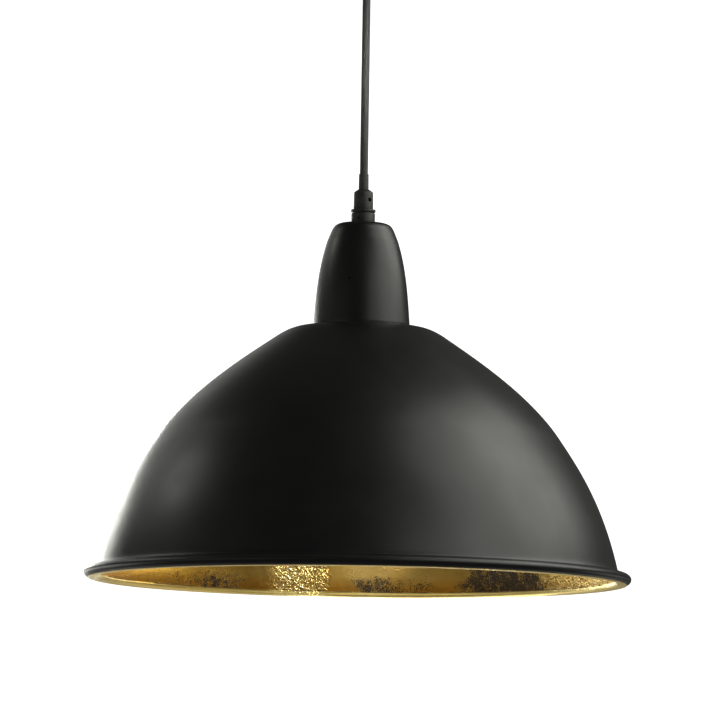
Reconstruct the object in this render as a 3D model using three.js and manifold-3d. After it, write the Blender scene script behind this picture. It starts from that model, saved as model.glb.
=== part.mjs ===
// Pendant ceiling light: a spun dome shade with a rolled lip and a gold-leaf lining, hung on a round cord
// from a small ceiling cup. Millimetres, +Z up. The origin is the middle of the ceiling strap's top face.
import * as THREE from "three";
import { mergeVertices } from "three/addons/utils/BufferGeometryUtils.js";
import Module from "manifold-3d";

const wasm = await Module();
wasm.setup();

// Driving dimensions
const GAP = 0.3; // air between two pieces that touch
const SHEET = 1; // wall of the spun shade, the holder cap and the ceiling cup
const LINING = 0.2; // leaf and its lacquer, shown as one thin skin
const DROP = 571; // from the ceiling down to the lip's widest ring, which is height 0 of the shade

const CORD_R = 3.5;
const CORD_BORE_R = 3.85; // holes that guide the cord
const WIRE_R = 1.1; // an insulated 0.75 mm2 conductor
const WIRES_APART = 1.5; // from the cord's axis to each conductor where the sheath ends

const LIP_R = 235; // widest radius of the rolled lip
const LIP_HALF_WIDTH = 7;
const LIP_HALF_HEIGHT = 5;
const LIP_CENTRE_R = LIP_R - LIP_HALF_WIDTH;
const LIP_FROM = -150; // the roll runs from its inner edge, in degrees from +R towards +Z
const LIP_TO = 118;
const WALL_FOOT = [223.8, 5.6]; // where the shade's wall meets the lip
const WALL_PULL = [210.2, 66]; // each "pull" is a control point of the curve it names
const WALL_BEND = [172.7, 119]; // where the steep wall turns into the crown
const WALL_BEND_SLOPE = 2.16; // direction of the wall there, in radians from +R towards +Z
const WALL_BEND_PULL_BELOW = 24.7;
const WALL_BEND_PULL_ABOVE = 46.7;
const CROWN_PULL = [97.4, 189.6];
const CROWN_EDGE = [73.5, 206.1]; // where the crown flattens towards the cap
const CROWN_EDGE_PULL = [57, 217.3];
const CROWN_FLAT_PULL = [50, 214.4];
const CROWN_FLAT = [41, 214.4];
const CROWN_HOLE_R = 20.4; // the lampholder passes through here
const CROWN_TOP = 214.6;

const CAP_FOOT = [41.9, 214.9];
const CAP_SIDE_PULLS = [[39.9, 242.1], [38.3, 266.1]];
const CAP_SHOULDER = [30.6, 290.5];
const CAP_TOP = 305.8;
const CAP_SHOULDER_PULLS = [[26.4, 300.2], [26.1, CAP_TOP]];
const CAP_TOP_R = 17;
const CAP_HOLE_R = 5.3;
const CAP_PIN_HOLE_R = 0.8; // a small hole in the cap's front
const CAP_PIN_HOLE_ANGLE = -107; // degrees from +X towards +Y
const CAP_PIN_HOLE_HEIGHT = 254;

const COLLAR_R = 10.25;
const COLLAR_FOOT = CAP_TOP + GAP;
const COLLAR_HEIGHT = 8.5;
const COLLAR_PIN_R = 0.9;
const COLLAR_PIN_LENGTH = 3.8;
const COLLAR_PIN_ANGLE = -110;
const COLLAR_PIN_HEIGHT = 309.8;
const LOCK_RING_R = 10.7;
const LOCK_RING_NECK_R = 9.6; // undercut below the ring's rim
const LOCK_RING_NECK_HEIGHT = 1;
const LOCK_RING_HEIGHT = 3;
const LOCK_RING_FOOT = COLLAR_FOOT + COLLAR_HEIGHT + GAP;
const BARREL_FOOT_R = 8.5;
const BARREL_R = 8.25; // at its shoulder
const BARREL_SHOULDER = 2.3; // height of the cone on its top
const BARREL_LAND = 0.5; // flat left round the sleeve
const BARREL_FOOT = LOCK_RING_FOOT + LOCK_RING_HEIGHT + GAP;
const BARREL_TOP = 335.5;
const BARREL_BORE_R = 4.7;
const SET_SCREW_HEIGHT = 326.2;
const SET_SCREW_ANGLE = -49; // degrees from +X towards +Y
const SET_SCREW_HOLE_R = 1.9;
const SET_SCREW_R = 1.5;
const SET_SCREW_LENGTH = 2.4; // it ends well inside the barrel's wall
const SLEEVE_TOP = 349.6;
const SLEEVE_FOOT = 329.5;
const SLEEVE_TOP_R = 4.2;
const SLEEVE_FOOT_R = 4.38;
const SLEEVE_BORE_R = 3.7;

const NIPPLE_R = 5; // M10 x 1 threaded tube
const NIPPLE_BORE_R = 3.9;
const NIPPLE_HOLE_R = NIPPLE_R + GAP;
const NIPPLE_FOOT = 256;
const NIPPLE_TOP = 322.5;

const HOLDER_R = 19.9; // threaded outside of the lampholder skirt
const HOLDER_WALL = 2.2;
const SKIRT_FOOT = 178;
const SKIRT_TOP = 226;
const HOUSING_TOP = 262;
const RING_HEIGHT = 3.8;
const UPPER_RING_R = 29;
const LOWER_RING_R = 31;
const SHELL_R = 14; // outside of the socket's screw shell
const SHELL_BORE_R = 13.5;
const SHELL_FOOT = 191;
const INSERT_FOOT = 223;
const INSERT_TOP = 240;
const INSERT_R = 16.2;
const HOUSING_NECK_R = 18.9; // just below the housing's rounded top
const HOUSING_ROUND = 6;
const HOUSING_NECK_DROP = 8;
const SOCKET_SCREW_OFFSET = 10;
const SOCKET_SCREW_HEAD_R = 2.2;
const SOCKET_WELL_R = 2.6;
const SOCKET_WELL_DEPTH = 6;
const CONTACT_HALF_WIDTH = 2.6;
const CONTACT_SLOT = [3.2, 9, 2.2]; // half width, half length and depth of its slot in the insert
const CONTACT_OUTLINE = [[-7, 1.6], [-7, 1], [-1.5, -3.6], [2.5, -3.6], [2.5, -3], [-1.2, -3], [-6.7, 1.6]];
const EARTH_PLATE_HALF_WIDTH = 3;
const EARTH_PLATE_Y = [-15.5, -9.5];
const EARTH_PLATE_Z = [252.2, 253];

const BULB_TIP = 219;
const BULB_CAP_R = 13.1; // E27 screw cap
const BULB_CAP_TOP = 214;
const BULB_CAP_FOOT = 190;
const BULB_RIM = [24, 163]; // where the heat sink meets the diffuser
const BULB_R = 30;
const BULB_WIDEST = 141;
const BULB_BOTTOM = 111;
const BULB_WALL = 1;
const BULB_CAP_WALL = 0.5;
const BULB_CRIMP_R = 9;
const BULB_BELLY_PULLS = [[27.5, 155.5], [BULB_R, 149.5]];
const SINK_NECK_R = 12.9;
const SINK_PULLS = [[14.2, 183], [20.5, 172]];
const SINK_WALL = 1.2;
const TIP_CONTACT_HEIGHT = 1.7;
const INSULATOR_FOOT_R = 8.6;
const INSULATOR_TOP_R = 5.2;
const TIP_FOOT_R = 4.6;
const TIP_R = 3.6;
const LED_BOARD_R = 21;
const LED_BOARD_Z = [159.5, 161];
const DRIVER_HALF_WIDTH = 8;
const DRIVER_HALF_THICK = 0.8;
const DRIVER_Z = [170, 200];

const STRAP_LENGTH = 84;
const STRAP_WIDTH = 22;
const STRAP_THICK = 2;
const SLOT_OFFSET = 30;
const SLOT_LENGTH = 12;
const SLOT_WIDTH = 5.2;
const EAR_FACE = 4; // inner face of the cord anchor's ear
const EAR_FOOT = -30;
const CLAMP_TOP = -17;
const CLAMP_FOOT = -27;
const CLAMP_BACK = -5.5;
const CLAMP_FRONT = 1;
const CLAMP_SCREW_OFFSET = 7.2;
const SHEATH_TOP = -13; // the cord's sheath is stripped above this
const BLOCK_FRONT = -11;
const BLOCK_DEPTH = 15;
const BLOCK_LENGTH = 32;
const BLOCK_TOP = -STRAP_THICK - GAP;
const BLOCK_HEIGHT = 14;
const POLE_PITCH = 10;

const CUP_R = 50;
const CUP_RIM = -1;
const CUP_FLOOR = -43;
const CUP_CORNER = 12;
const CUP_HOLE_R = 8.3;
const BUSH_R = 8;
const BUSH_FLANGE_R = 10;
const BUSH_MOUTH = -51; // the cord leaves the ceiling fitting here
const BUSH_MOUTH_R = 6.4;
const BUSH_TOP = -36;
const BUSH_FLANGE_THICK = 3.5;
const GRUB_HEIGHT = -46.4;
const GRUB_ANGLE = 90;

const M3_R = 1.5;
const M4_R = 1.95;
const HOLE_CLEARANCE = 0.35; // radial, around a screw

// How many flat sides a round piece gets
const SHADE_SIDES = 36;
const ROUND_SIDES = 28;
const PART_SIDES = 20;
const SMALL_SIDES = 16;
const SCREW_SIDES = 8;
const CORD_SIDES = 10;
const WIRE_SIDES = 8;

// Materials
function material(color, roughness, metalness) {
  return new THREE.MeshStandardMaterial({ color, roughness, metalness });
}
const blackPaint = material(0x141414, 0.45, 0.2);
const blackMetal = material(0x202020, 0.4, 0.6);
const goldLeaf = material(0xc89a45, 0.35, 1);
const cordSheath = material(0x101010, 0.7, 0);
const blackRubber = material(0x0c0c0c, 0.8, 0);
const blackPlastic = material(0x1a1a1a, 0.5, 0);
const whitePlastic = material(0xe8e6e0, 0.5, 0);
const porcelain = material(0xf2efe8, 0.25, 0);
const zincSteel = material(0xb8bcc0, 0.35, 1);
const brass = material(0xc9a24f, 0.3, 1);
const opalDiffuser = material(0xf6f4ee, 0.4, 0);
const circuitBoard = material(0x2c6b3c, 0.5, 0);
const brownInsulation = material(0x6b3a1e, 0.5, 0);
const blueInsulation = material(0x2a5fa8, 0.5, 0);
const earthInsulation = material(0x9ab52a, 0.5, 0);

// Geometry helpers. A profile is a list of [radius, height] points.
function bezier(from, control1, control2, to, steps) {
  const corners = [from, control1, control2, to].map(([r, z]) => new THREE.Vector2(r, z));
  const curve = new THREE.CubicBezierCurve(...corners);
  return curve.getPoints(steps).map((p) => [p.x, p.y]);
}

function arc(centreR, centreZ, radiusR, radiusZ, fromDegrees, toDegrees, steps) {
  return Array.from({ length: steps + 1 }, (_, i) => {
    const a = THREE.MathUtils.degToRad(fromDegrees + ((toDegrees - fromDegrees) * i) / steps);
    return [centreR + radiusR * Math.cos(a), centreZ + radiusZ * Math.sin(a)];
  });
}

function polar([r, z], angle, distance) {
  return [r + distance * Math.cos(angle), z + distance * Math.sin(angle)];
}

// The same line moved sideways, to the left of its direction.
function parallel(line, distance) {
  return line.map(([r, z], i) => {
    const [r0, z0] = line[Math.max(i - 1, 0)];
    const [r1, z1] = line[Math.min(i + 1, line.length - 1)];
    const length = Math.hypot(r1 - r0, z1 - z0);
    return [r - (distance * (z1 - z0)) / length, z + (distance * (r1 - r0)) / length];
  });
}

function signedArea(outline) {
  return outline.reduce((sum, [r, z], i) => {
    const [r1, z1] = outline[(i + 1) % outline.length];
    return sum + (r * z1 - r1 * z) / 2;
  }, 0);
}

// A closed outline turned about the Z axis. The outline may run either way round.
function turned(outline, sides) {
  const ordered = signedArea(outline) > 0 ? outline : [...outline].reverse();
  const profile = [...ordered, ordered[0]].map(([r, z]) => new THREE.Vector2(Math.max(r, 0), z));
  return new THREE.LatheGeometry(profile, sides).rotateX(Math.PI / 2);
}

function tube(innerR, outerR, foot, top, sides) {
  return turned([[innerR, foot], [outerR, foot], [outerR, top], [innerR, top]], sides);
}

function disc(radius, foot, top, sides) {
  return tube(0, radius, foot, top, sides);
}

function cone(footR, topR, foot, top) {
  return turned([[0, foot], [footR, foot], [topR, top], [0, top]], SMALL_SIDES);
}

function hexNut(boreR, cornerR, foot, top) {
  return cut(disc(cornerR, foot, top, 6), disc(boreR, foot - 1, top + 1, SMALL_SIDES));
}

// A rod along a smooth curve through the points.
function rod(points, radius, sides, steps) {
  const circle = new THREE.EllipseCurve(0, 0, radius, radius);
  const section = new THREE.Shape(circle.getPoints(sides).slice(0, sides));
  const extrudePath = new THREE.CatmullRomCurve3(points.map((p) => new THREE.Vector3(...p)));
  return new THREE.ExtrudeGeometry(section, { steps, extrudePath, bevelEnabled: false });
}

function block(x0, x1, y0, y1, z0, z1) {
  const box = new THREE.BoxGeometry(x1 - x0, y1 - y0, z1 - z0);
  return box.translate((x0 + x1) / 2, (y0 + y1) / 2, (z0 + z1) / 2);
}

function toSolid(geometry) {
  const bare = geometry.index ? geometry.toNonIndexed() : geometry.clone();
  bare.deleteAttribute("normal");
  bare.deleteAttribute("uv");
  const merged = mergeVertices(bare, 1e-3);
  const vertProperties = merged.attributes.position.array;
  const triVerts = new Uint32Array(merged.index.array);
  return new wasm.Manifold(new wasm.Mesh({ numProp: 3, vertProperties, triVerts }));
}

function toGeometry(solid) {
  const mesh = solid.getMesh();
  const geometry = new THREE.BufferGeometry();
  geometry.setAttribute("position", new THREE.BufferAttribute(mesh.vertProperties, 3));
  geometry.setIndex(new THREE.BufferAttribute(mesh.triVerts, 1));
  geometry.computeVertexNormals();
  return geometry;
}

function cut(geometry, ...tools) {
  return toGeometry(tools.reduce((solid, tool) => solid.subtract(toSolid(tool)), toSolid(geometry)));
}

function join(first, ...others) {
  return toGeometry(others.reduce((solid, other) => solid.add(toSolid(other)), toSolid(first)));
}

// A screw along +Z: its shank ends at 0 and its head, with a slot or a socket, is at the top.
function screwBlank(shankR, shankLength, headR, headHeight) {
  const outline = [[0, 0], [shankR, 0], [shankR, shankLength], [headR, shankLength]];
  outline.push([headR, shankLength + headHeight * 0.6], [headR * 0.8, shankLength + headHeight]);
  return turned([...outline, [0, shankLength + headHeight]], SCREW_SIDES);
}

function slottedScrew(shankR, shankLength, headR, headHeight) {
  const top = shankLength + headHeight;
  const slot = block(-headR, headR, -headR * 0.15, headR * 0.15, top - headHeight * 0.5, top + 1);
  return cut(screwBlank(shankR, shankLength, headR, headHeight), slot);
}

// A headless screw along +Z from 0, with a hex socket in its outer end.
function grubScrew(radius, length) {
  const socket = disc(radius * 0.55, length * 0.6, length + 1, 6);
  return cut(disc(radius, 0, length, SCREW_SIDES), socket);
}

function piece(group, name, geometry, surface) {
  const mesh = new THREE.Mesh(geometry, surface);
  mesh.name = name;
  group.add(mesh);
  return mesh;
}

// A piece made along +Z, laid radially so that its +Z points outwards at that angle.
function radial(mesh, angleDegrees, startR, height) {
  const angle = THREE.MathUtils.degToRad(angleDegrees);
  const outwards = new THREE.Vector3(Math.cos(angle), Math.sin(angle), 0);
  mesh.quaternion.setFromUnitVectors(new THREE.Vector3(0, 0, 1), outwards);
  mesh.position.copy(outwards).multiplyScalar(startR).setZ(height);
}

function radialHole(angleDegrees, radius, startR, endR, height) {
  const hole = disc(radius, startR, endR, SCREW_SIDES).rotateY(Math.PI / 2);
  return hole.rotateZ(THREE.MathUtils.degToRad(angleDegrees)).translate(0, 0, height);
}

// Ceiling fitting
const ceiling = new THREE.Group();
const clampScrewY = [-CLAMP_SCREW_OFFSET, CLAMP_SCREW_OFFSET];
const poles = [-POLE_PITCH, 0, POLE_PITCH];

function slotTool(x) {
  const half = (SLOT_LENGTH - SLOT_WIDTH) / 2;
  const ends = [x - half, x + half].map((cx) =>
    disc(SLOT_WIDTH / 2, -STRAP_THICK - 1, 1, SCREW_SIDES).translate(cx, 0, 0),
  );
  const middle = block(x - half, x + half, -SLOT_WIDTH / 2, SLOT_WIDTH / 2, -STRAP_THICK - 1, 1);
  return join(middle, ...ends);
}

function mountingStrap() {
  const half = STRAP_LENGTH / 2;
  const plate = block(-half, half, -STRAP_WIDTH / 2, STRAP_WIDTH / 2, -STRAP_THICK, 0);
  const ear = block(EAR_FACE, EAR_FACE + STRAP_THICK, -STRAP_WIDTH / 2, STRAP_WIDTH / 2, EAR_FOOT, -1);
  const screwHoles = clampScrewY.map((y) =>
    disc(M3_R + HOLE_CLEARANCE, EAR_FACE - 1, EAR_FACE + STRAP_THICK + 1, SCREW_SIDES)
      .rotateY(Math.PI / 2)
      .translate(0, y, (CLAMP_TOP + CLAMP_FOOT) / 2),
  );
  return cut(join(plate, ear), slotTool(-SLOT_OFFSET), slotTool(SLOT_OFFSET), ...screwHoles);
}

function cordClamp() {
  const half = STRAP_WIDTH / 2 - 0.5;
  const bar = block(CLAMP_BACK, CLAMP_FRONT, -half, half, CLAMP_FOOT, CLAMP_TOP);
  const groove = disc(CORD_BORE_R, CLAMP_FOOT - 1, CLAMP_TOP + 1, SMALL_SIDES);
  const screwHoles = clampScrewY.map((y) =>
    disc(M3_R + HOLE_CLEARANCE, CLAMP_BACK - 1, CLAMP_FRONT + 1, SCREW_SIDES)
      .rotateY(Math.PI / 2)
      .translate(0, y, (CLAMP_TOP + CLAMP_FOOT) / 2),
  );
  return cut(bar, groove, ...screwHoles);
}

const poleScrewX = [BLOCK_FRONT - 4, BLOCK_FRONT - BLOCK_DEPTH + 4];
const blockFoot = BLOCK_TOP - BLOCK_HEIGHT;
const POLE_SCREW_SHANK = 5;
const POLE_SCREW_HEAD = 1.4;
const POLE_HOLE_R = 2.1; // a conductor enters here
const POLE_SCREW_HOLE_R = 2.4;
const POLE_WIRE_Z = -9;

function terminalBlock() {
  const back = BLOCK_FRONT - BLOCK_DEPTH;
  const body = block(back, BLOCK_FRONT, -BLOCK_LENGTH / 2, BLOCK_LENGTH / 2, blockFoot, BLOCK_TOP);
  const wireHoles = poles.map((y) =>
    disc(POLE_HOLE_R, back - 1, BLOCK_FRONT + 1, SCREW_SIDES)
      .rotateY(Math.PI / 2)
      .translate(0, y, POLE_WIRE_Z),
  );
  const screwHoles = poles.flatMap((y) =>
    poleScrewX.map((x) =>
      disc(POLE_SCREW_HOLE_R, blockFoot - 1, POLE_WIRE_Z - 1, SCREW_SIDES).translate(x, y, 0),
    ),
  );
  return cut(body, ...wireHoles, ...screwHoles);
}

piece(ceiling, "mounting_strap", mountingStrap(), zincSteel);
piece(ceiling, "cord_clamp", cordClamp(), whitePlastic);
clampScrewY.forEach((y, i) => {
  const shank = EAR_FACE + STRAP_THICK + 1 - CLAMP_BACK + GAP;
  const blank = slottedScrew(M3_R, shank, 2.8, 1.8);
  const screw = piece(ceiling, `cord_clamp_screw_${i + 1}`, blank, zincSteel);
  screw.rotation.y = -Math.PI / 2;
  screw.position.set(CLAMP_BACK - GAP + shank, y, (CLAMP_TOP + CLAMP_FOOT) / 2);
});
piece(ceiling, "terminal_block", terminalBlock(), whitePlastic);
poles.forEach((y, pole) => {
  poleScrewX.forEach((x, side) => {
    const name = `terminal_screw_${pole * poleScrewX.length + side + 1}`;
    const blank = slottedScrew(M3_R, POLE_SCREW_SHANK, 2, POLE_SCREW_HEAD);
    const screw = piece(ceiling, name, blank, brass);
    screw.rotation.x = Math.PI;
    screw.position.set(x, y, blockFoot + POLE_SCREW_SHANK + POLE_SCREW_HEAD - GAP);
  });
});

// Each conductor runs from the stripped end of the sheath up and across to its pole.
function upperWire(angleDegrees, poleY) {
  const a = THREE.MathUtils.degToRad(angleDegrees);
  const start = [WIRES_APART * Math.cos(a), WIRES_APART * Math.sin(a), SHEATH_TOP + GAP];
  const rise = [start[0], start[1] * 1.3, SHEATH_TOP + 3.2];
  const across = [-4.5, poleY * 0.55, -6.8];
  const ahead = [BLOCK_FRONT + 2, poleY, POLE_WIRE_Z];
  const inside = [BLOCK_FRONT - 1.5, poleY, POLE_WIRE_Z];
  return rod([start, rise, across, ahead, inside], WIRE_R, WIRE_SIDES, 9);
}
piece(ceiling, "earth_wire_upper", upperWire(180, 0), earthInsulation);
piece(ceiling, "live_wire_upper", upperWire(60, POLE_PITCH), brownInsulation);
piece(ceiling, "neutral_wire_upper", upperWire(-60, -POLE_PITCH), blueInsulation);

function ceilingCup() {
  const cornerR = CUP_R - CUP_CORNER;
  const cornerZ = CUP_FLOOR + CUP_CORNER;
  const inner = CUP_CORNER - SHEET;
  const outside = arc(cornerR, cornerZ, CUP_CORNER, CUP_CORNER, 0, -90, 4);
  const inside = arc(cornerR, cornerZ, inner, inner, -90, 0, 4);
  const floor = [[CUP_HOLE_R, CUP_FLOOR], [CUP_HOLE_R, CUP_FLOOR + SHEET]];
  const rim = [[CUP_R - SHEET, CUP_RIM], [CUP_R, CUP_RIM]];
  return turned([...outside, ...floor, ...inside, ...rim], ROUND_SIDES);
}

function cordBush() {
  const flangeTop = CUP_FLOOR - GAP;
  const shank = [[CORD_BORE_R, BUSH_TOP], [BUSH_R, BUSH_TOP], [BUSH_R, flangeTop]];
  const flange = [[BUSH_FLANGE_R, flangeTop], [BUSH_FLANGE_R, flangeTop - BUSH_FLANGE_THICK]];
  const mouth = [[BUSH_MOUTH_R, BUSH_MOUTH], [CORD_BORE_R, BUSH_MOUTH]];
  const holeR = M4_R + HOLE_CLEARANCE;
  const hole = radialHole(GRUB_ANGLE, holeR, CORD_BORE_R - 2, BUSH_FLANGE_R + 1, GRUB_HEIGHT);
  return cut(turned([...shank, ...flange, ...mouth], SMALL_SIDES), hole);
}

const NUT_FOOT = CUP_FLOOR + SHEET + GAP;
const NUT_THICK = 4;
const NUT_CORNER_R = 12.5;
const CUP_SCREW_LENGTH = 5;
piece(ceiling, "ceiling_cup", ceilingCup(), blackPaint);
piece(ceiling, "cup_cord_bush", cordBush(), blackPlastic);
const bushNut = hexNut(BUSH_R + GAP, NUT_CORNER_R, NUT_FOOT, NUT_FOOT + NUT_THICK);
piece(ceiling, "cup_bush_nut", bushNut, blackPlastic);
const cupScrew = piece(ceiling, "cup_grub_screw", grubScrew(M4_R, CUP_SCREW_LENGTH), blackMetal);
radial(cupScrew, GRUB_ANGLE, CORD_R + 2 * GAP, GRUB_HEIGHT);

// Cord: the length held in the cup, the free length, and the length held in the grip and the tube
function cordLength(top, foot, steps) {
  return rod([[0, 0, top], [0, 0, (top + foot) / 2], [0, 0, foot]], CORD_R, CORD_SIDES, steps);
}
const FREE_TOP = BUSH_MOUTH - GAP;
const FREE_FOOT = SLEEVE_TOP - DROP;
piece(ceiling, "cord_in_cup", cordLength(SHEATH_TOP, BUSH_MOUTH, 2), cordSheath);
piece(ceiling, "cord", cordLength(FREE_TOP, FREE_FOOT, 9), cordSheath);

// Hanging shade. Its heights are counted from the lip's widest ring.
const pendant = new THREE.Group();
pendant.position.z = -DROP;

function wallLine() {
  const below = polar(WALL_BEND, WALL_BEND_SLOPE, -WALL_BEND_PULL_BELOW);
  const above = polar(WALL_BEND, WALL_BEND_SLOPE, WALL_BEND_PULL_ABOVE);
  const steep = bezier(WALL_FOOT, WALL_PULL, below, WALL_BEND, 4);
  const crown = bezier(WALL_BEND, above, CROWN_PULL, CROWN_EDGE, 5);
  const flat = bezier(CROWN_EDGE, CROWN_EDGE_PULL, CROWN_FLAT_PULL, CROWN_FLAT, 4);
  return [...steep, ...crown.slice(1), ...flat.slice(1)];
}

function shade() {
  const wall = wallLine();
  const inside = parallel(wall, SHEET).reverse();
  const lip = arc(LIP_CENTRE_R, 0, LIP_HALF_WIDTH, LIP_HALF_HEIGHT, LIP_FROM, LIP_TO, 7);
  const top = [[CROWN_HOLE_R, CROWN_TOP], [CROWN_HOLE_R, CROWN_TOP - SHEET]];
  return turned([...lip, ...wall, ...top, ...inside], SHADE_SIDES);
}

function lining() {
  const wall = wallLine();
  const outside = parallel(wall, SHEET + GAP);
  const inside = parallel(wall, SHEET + GAP + LINING).reverse();
  return turned([...outside, ...inside], SHADE_SIDES);
}

function holderCap() {
  const side = bezier(CAP_FOOT, ...CAP_SIDE_PULLS, CAP_SHOULDER, 5);
  const shoulder = bezier(CAP_SHOULDER, ...CAP_SHOULDER_PULLS, [CAP_TOP_R, CAP_TOP], 3);
  const outside = [...side, ...shoulder.slice(1)];
  const inside = parallel(outside, SHEET).reverse();
  const top = [[CAP_HOLE_R, CAP_TOP], [CAP_HOLE_R, CAP_TOP - SHEET]];
  const [footR] = CAP_FOOT;
  const hole = radialHole(CAP_PIN_HOLE_ANGLE, CAP_PIN_HOLE_R, CAP_TOP_R, footR + 1, CAP_PIN_HOLE_HEIGHT);
  return cut(turned([...outside, ...top, ...inside], ROUND_SIDES), hole);
}

piece(pendant, "shade", shade(), blackPaint);
piece(pendant, "gold_leaf_lining", lining(), goldLeaf);
piece(pendant, "holder_cap", holderCap(), blackPaint);

function collar() {
  const ring = tube(NIPPLE_HOLE_R, COLLAR_R, COLLAR_FOOT, COLLAR_FOOT + COLLAR_HEIGHT, PART_SIDES);
  const holeR = COLLAR_PIN_R + GAP;
  return cut(ring, radialHole(COLLAR_PIN_ANGLE, holeR, NIPPLE_R, COLLAR_R + 1, COLLAR_PIN_HEIGHT));
}

function gripBarrel() {
  const stepZ = NIPPLE_TOP + 0.5;
  const outline = [[NIPPLE_HOLE_R, BARREL_FOOT], [BARREL_FOOT_R, BARREL_FOOT]];
  outline.push([BARREL_R, BARREL_TOP - BARREL_SHOULDER], [BARREL_BORE_R + BARREL_LAND, BARREL_TOP]);
  outline.push([BARREL_BORE_R, BARREL_TOP], [BARREL_BORE_R, stepZ], [NIPPLE_HOLE_R, stepZ]);
  const startR = BARREL_BORE_R - 1;
  const hole = radialHole(SET_SCREW_ANGLE, SET_SCREW_HOLE_R, startR, BARREL_R + 1, SET_SCREW_HEIGHT);
  return cut(turned(outline, PART_SIDES), hole);
}

function sleeve() {
  const outline = [[SLEEVE_BORE_R, SLEEVE_FOOT], [SLEEVE_FOOT_R, SLEEVE_FOOT], [SLEEVE_FOOT_R, BARREL_TOP]];
  outline.push([SLEEVE_TOP_R, SLEEVE_TOP - GAP], [SLEEVE_BORE_R, SLEEVE_TOP - GAP]);
  return turned(outline, SMALL_SIDES);
}

function lockRing() {
  const top = LOCK_RING_FOOT + LOCK_RING_HEIGHT;
  const neckTop = LOCK_RING_FOOT + LOCK_RING_NECK_HEIGHT;
  const neck = [[NIPPLE_HOLE_R, LOCK_RING_FOOT], [LOCK_RING_NECK_R, LOCK_RING_FOOT]];
  const rim = [[LOCK_RING_NECK_R, neckTop], [LOCK_RING_R, neckTop], [LOCK_RING_R, top]];
  return turned([...neck, ...rim, [NIPPLE_HOLE_R, top]], PART_SIDES);
}

const WASHER_TOP = CAP_TOP - SHEET - GAP;
const WASHER_THICK = 1;
const WASHER_R = 9;
const LOCKNUT_THICK = 4;
const LOCKNUT_CORNER_R = 8.5;
const locknutTop = WASHER_TOP - WASHER_THICK - GAP;
piece(pendant, "grip_collar", collar(), blackMetal);
const pin = disc(COLLAR_PIN_R, 0, COLLAR_PIN_LENGTH, SCREW_SIDES);
const collarPin = piece(pendant, "collar_pin", pin, blackMetal);
radial(collarPin, COLLAR_PIN_ANGLE, NIPPLE_R + 2 * GAP, COLLAR_PIN_HEIGHT);
piece(pendant, "grip_lock_ring", lockRing(), blackMetal);
piece(pendant, "cord_grip_barrel", gripBarrel(), blackMetal);
const setScrew = grubScrew(SET_SCREW_R, SET_SCREW_LENGTH);
const gripScrew = piece(pendant, "cord_grip_screw", setScrew, blackMetal);
radial(gripScrew, SET_SCREW_ANGLE, CORD_R + GAP, SET_SCREW_HEIGHT);
piece(pendant, "strain_relief_sleeve", sleeve(), blackRubber);
const nipple = tube(NIPPLE_BORE_R, NIPPLE_R, NIPPLE_FOOT, NIPPLE_TOP, SMALL_SIDES);
const washer = tube(NIPPLE_HOLE_R, WASHER_R, WASHER_TOP - WASHER_THICK, WASHER_TOP, SMALL_SIDES);
const locknut = hexNut(NIPPLE_HOLE_R + 0.1, LOCKNUT_CORNER_R, locknutTop - LOCKNUT_THICK, locknutTop);
piece(pendant, "threaded_tube", nipple, zincSteel);
piece(pendant, "cap_washer", washer, zincSteel);
piece(pendant, "cap_locknut", locknut, brass);
const CORD_END = NIPPLE_FOOT + 1;
piece(pendant, "cord_in_grip", cordLength(SLEEVE_TOP - GAP, CORD_END, 3), cordSheath);

// Lampholder
const shellTop = INSERT_FOOT - GAP;
const socketScrewX = [-SOCKET_SCREW_OFFSET, SOCKET_SCREW_OFFSET];

function holderHousing() {
  const inner = HOLDER_R - HOLDER_WALL;
  const roof = HOUSING_TOP - HOLDER_WALL;
  const foot = SKIRT_TOP + GAP;
  const round = HOUSING_ROUND;
  const roundR = HOUSING_NECK_R - round;
  const outline = [[inner, foot], [HOLDER_R, foot], [HOUSING_NECK_R, HOUSING_TOP - HOUSING_NECK_DROP]];
  outline.push(...arc(roundR, HOUSING_TOP - round, round, round, 0, 90, 3));
  outline.push([NIPPLE_HOLE_R, HOUSING_TOP], [NIPPLE_HOLE_R, roof]);
  outline.push([roundR - 1.4, roof], [HOUSING_NECK_R - HOLDER_WALL, roof - round]);
  return turned(outline, PART_SIDES);
}

function socketInsert() {
  const base = disc(INSERT_R, INSERT_FOOT, INSERT_TOP, PART_SIDES);
  const [halfWidth, halfLength, depth] = CONTACT_SLOT;
  const slotTop = INSERT_FOOT + depth;
  const contactSlot = block(-halfWidth, halfWidth, -halfLength, halfLength, INSERT_FOOT - 1, slotTop);
  const wells = socketScrewX.map((x) =>
    disc(SOCKET_WELL_R, INSERT_TOP - SOCKET_WELL_DEPTH, INSERT_TOP + 1, SCREW_SIDES).translate(x, 0, 0),
  );
  return cut(base, contactSlot, ...wells);
}

// A springy tongue: its foot is held in the insert and its bent end presses on the lamp's tip.
function centreContact() {
  const half = CONTACT_HALF_WIDTH;
  const tongue = new THREE.Shape(CONTACT_OUTLINE.map(([x, y]) => new THREE.Vector2(x, y)));
  const strip = new THREE.ExtrudeGeometry(tongue, { depth: 2 * half, bevelEnabled: false });
  strip.translate(0, 0, -half).rotateX(Math.PI / 2).rotateZ(Math.PI / 2);
  return strip.translate(0, 0, INSERT_FOOT);
}

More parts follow.
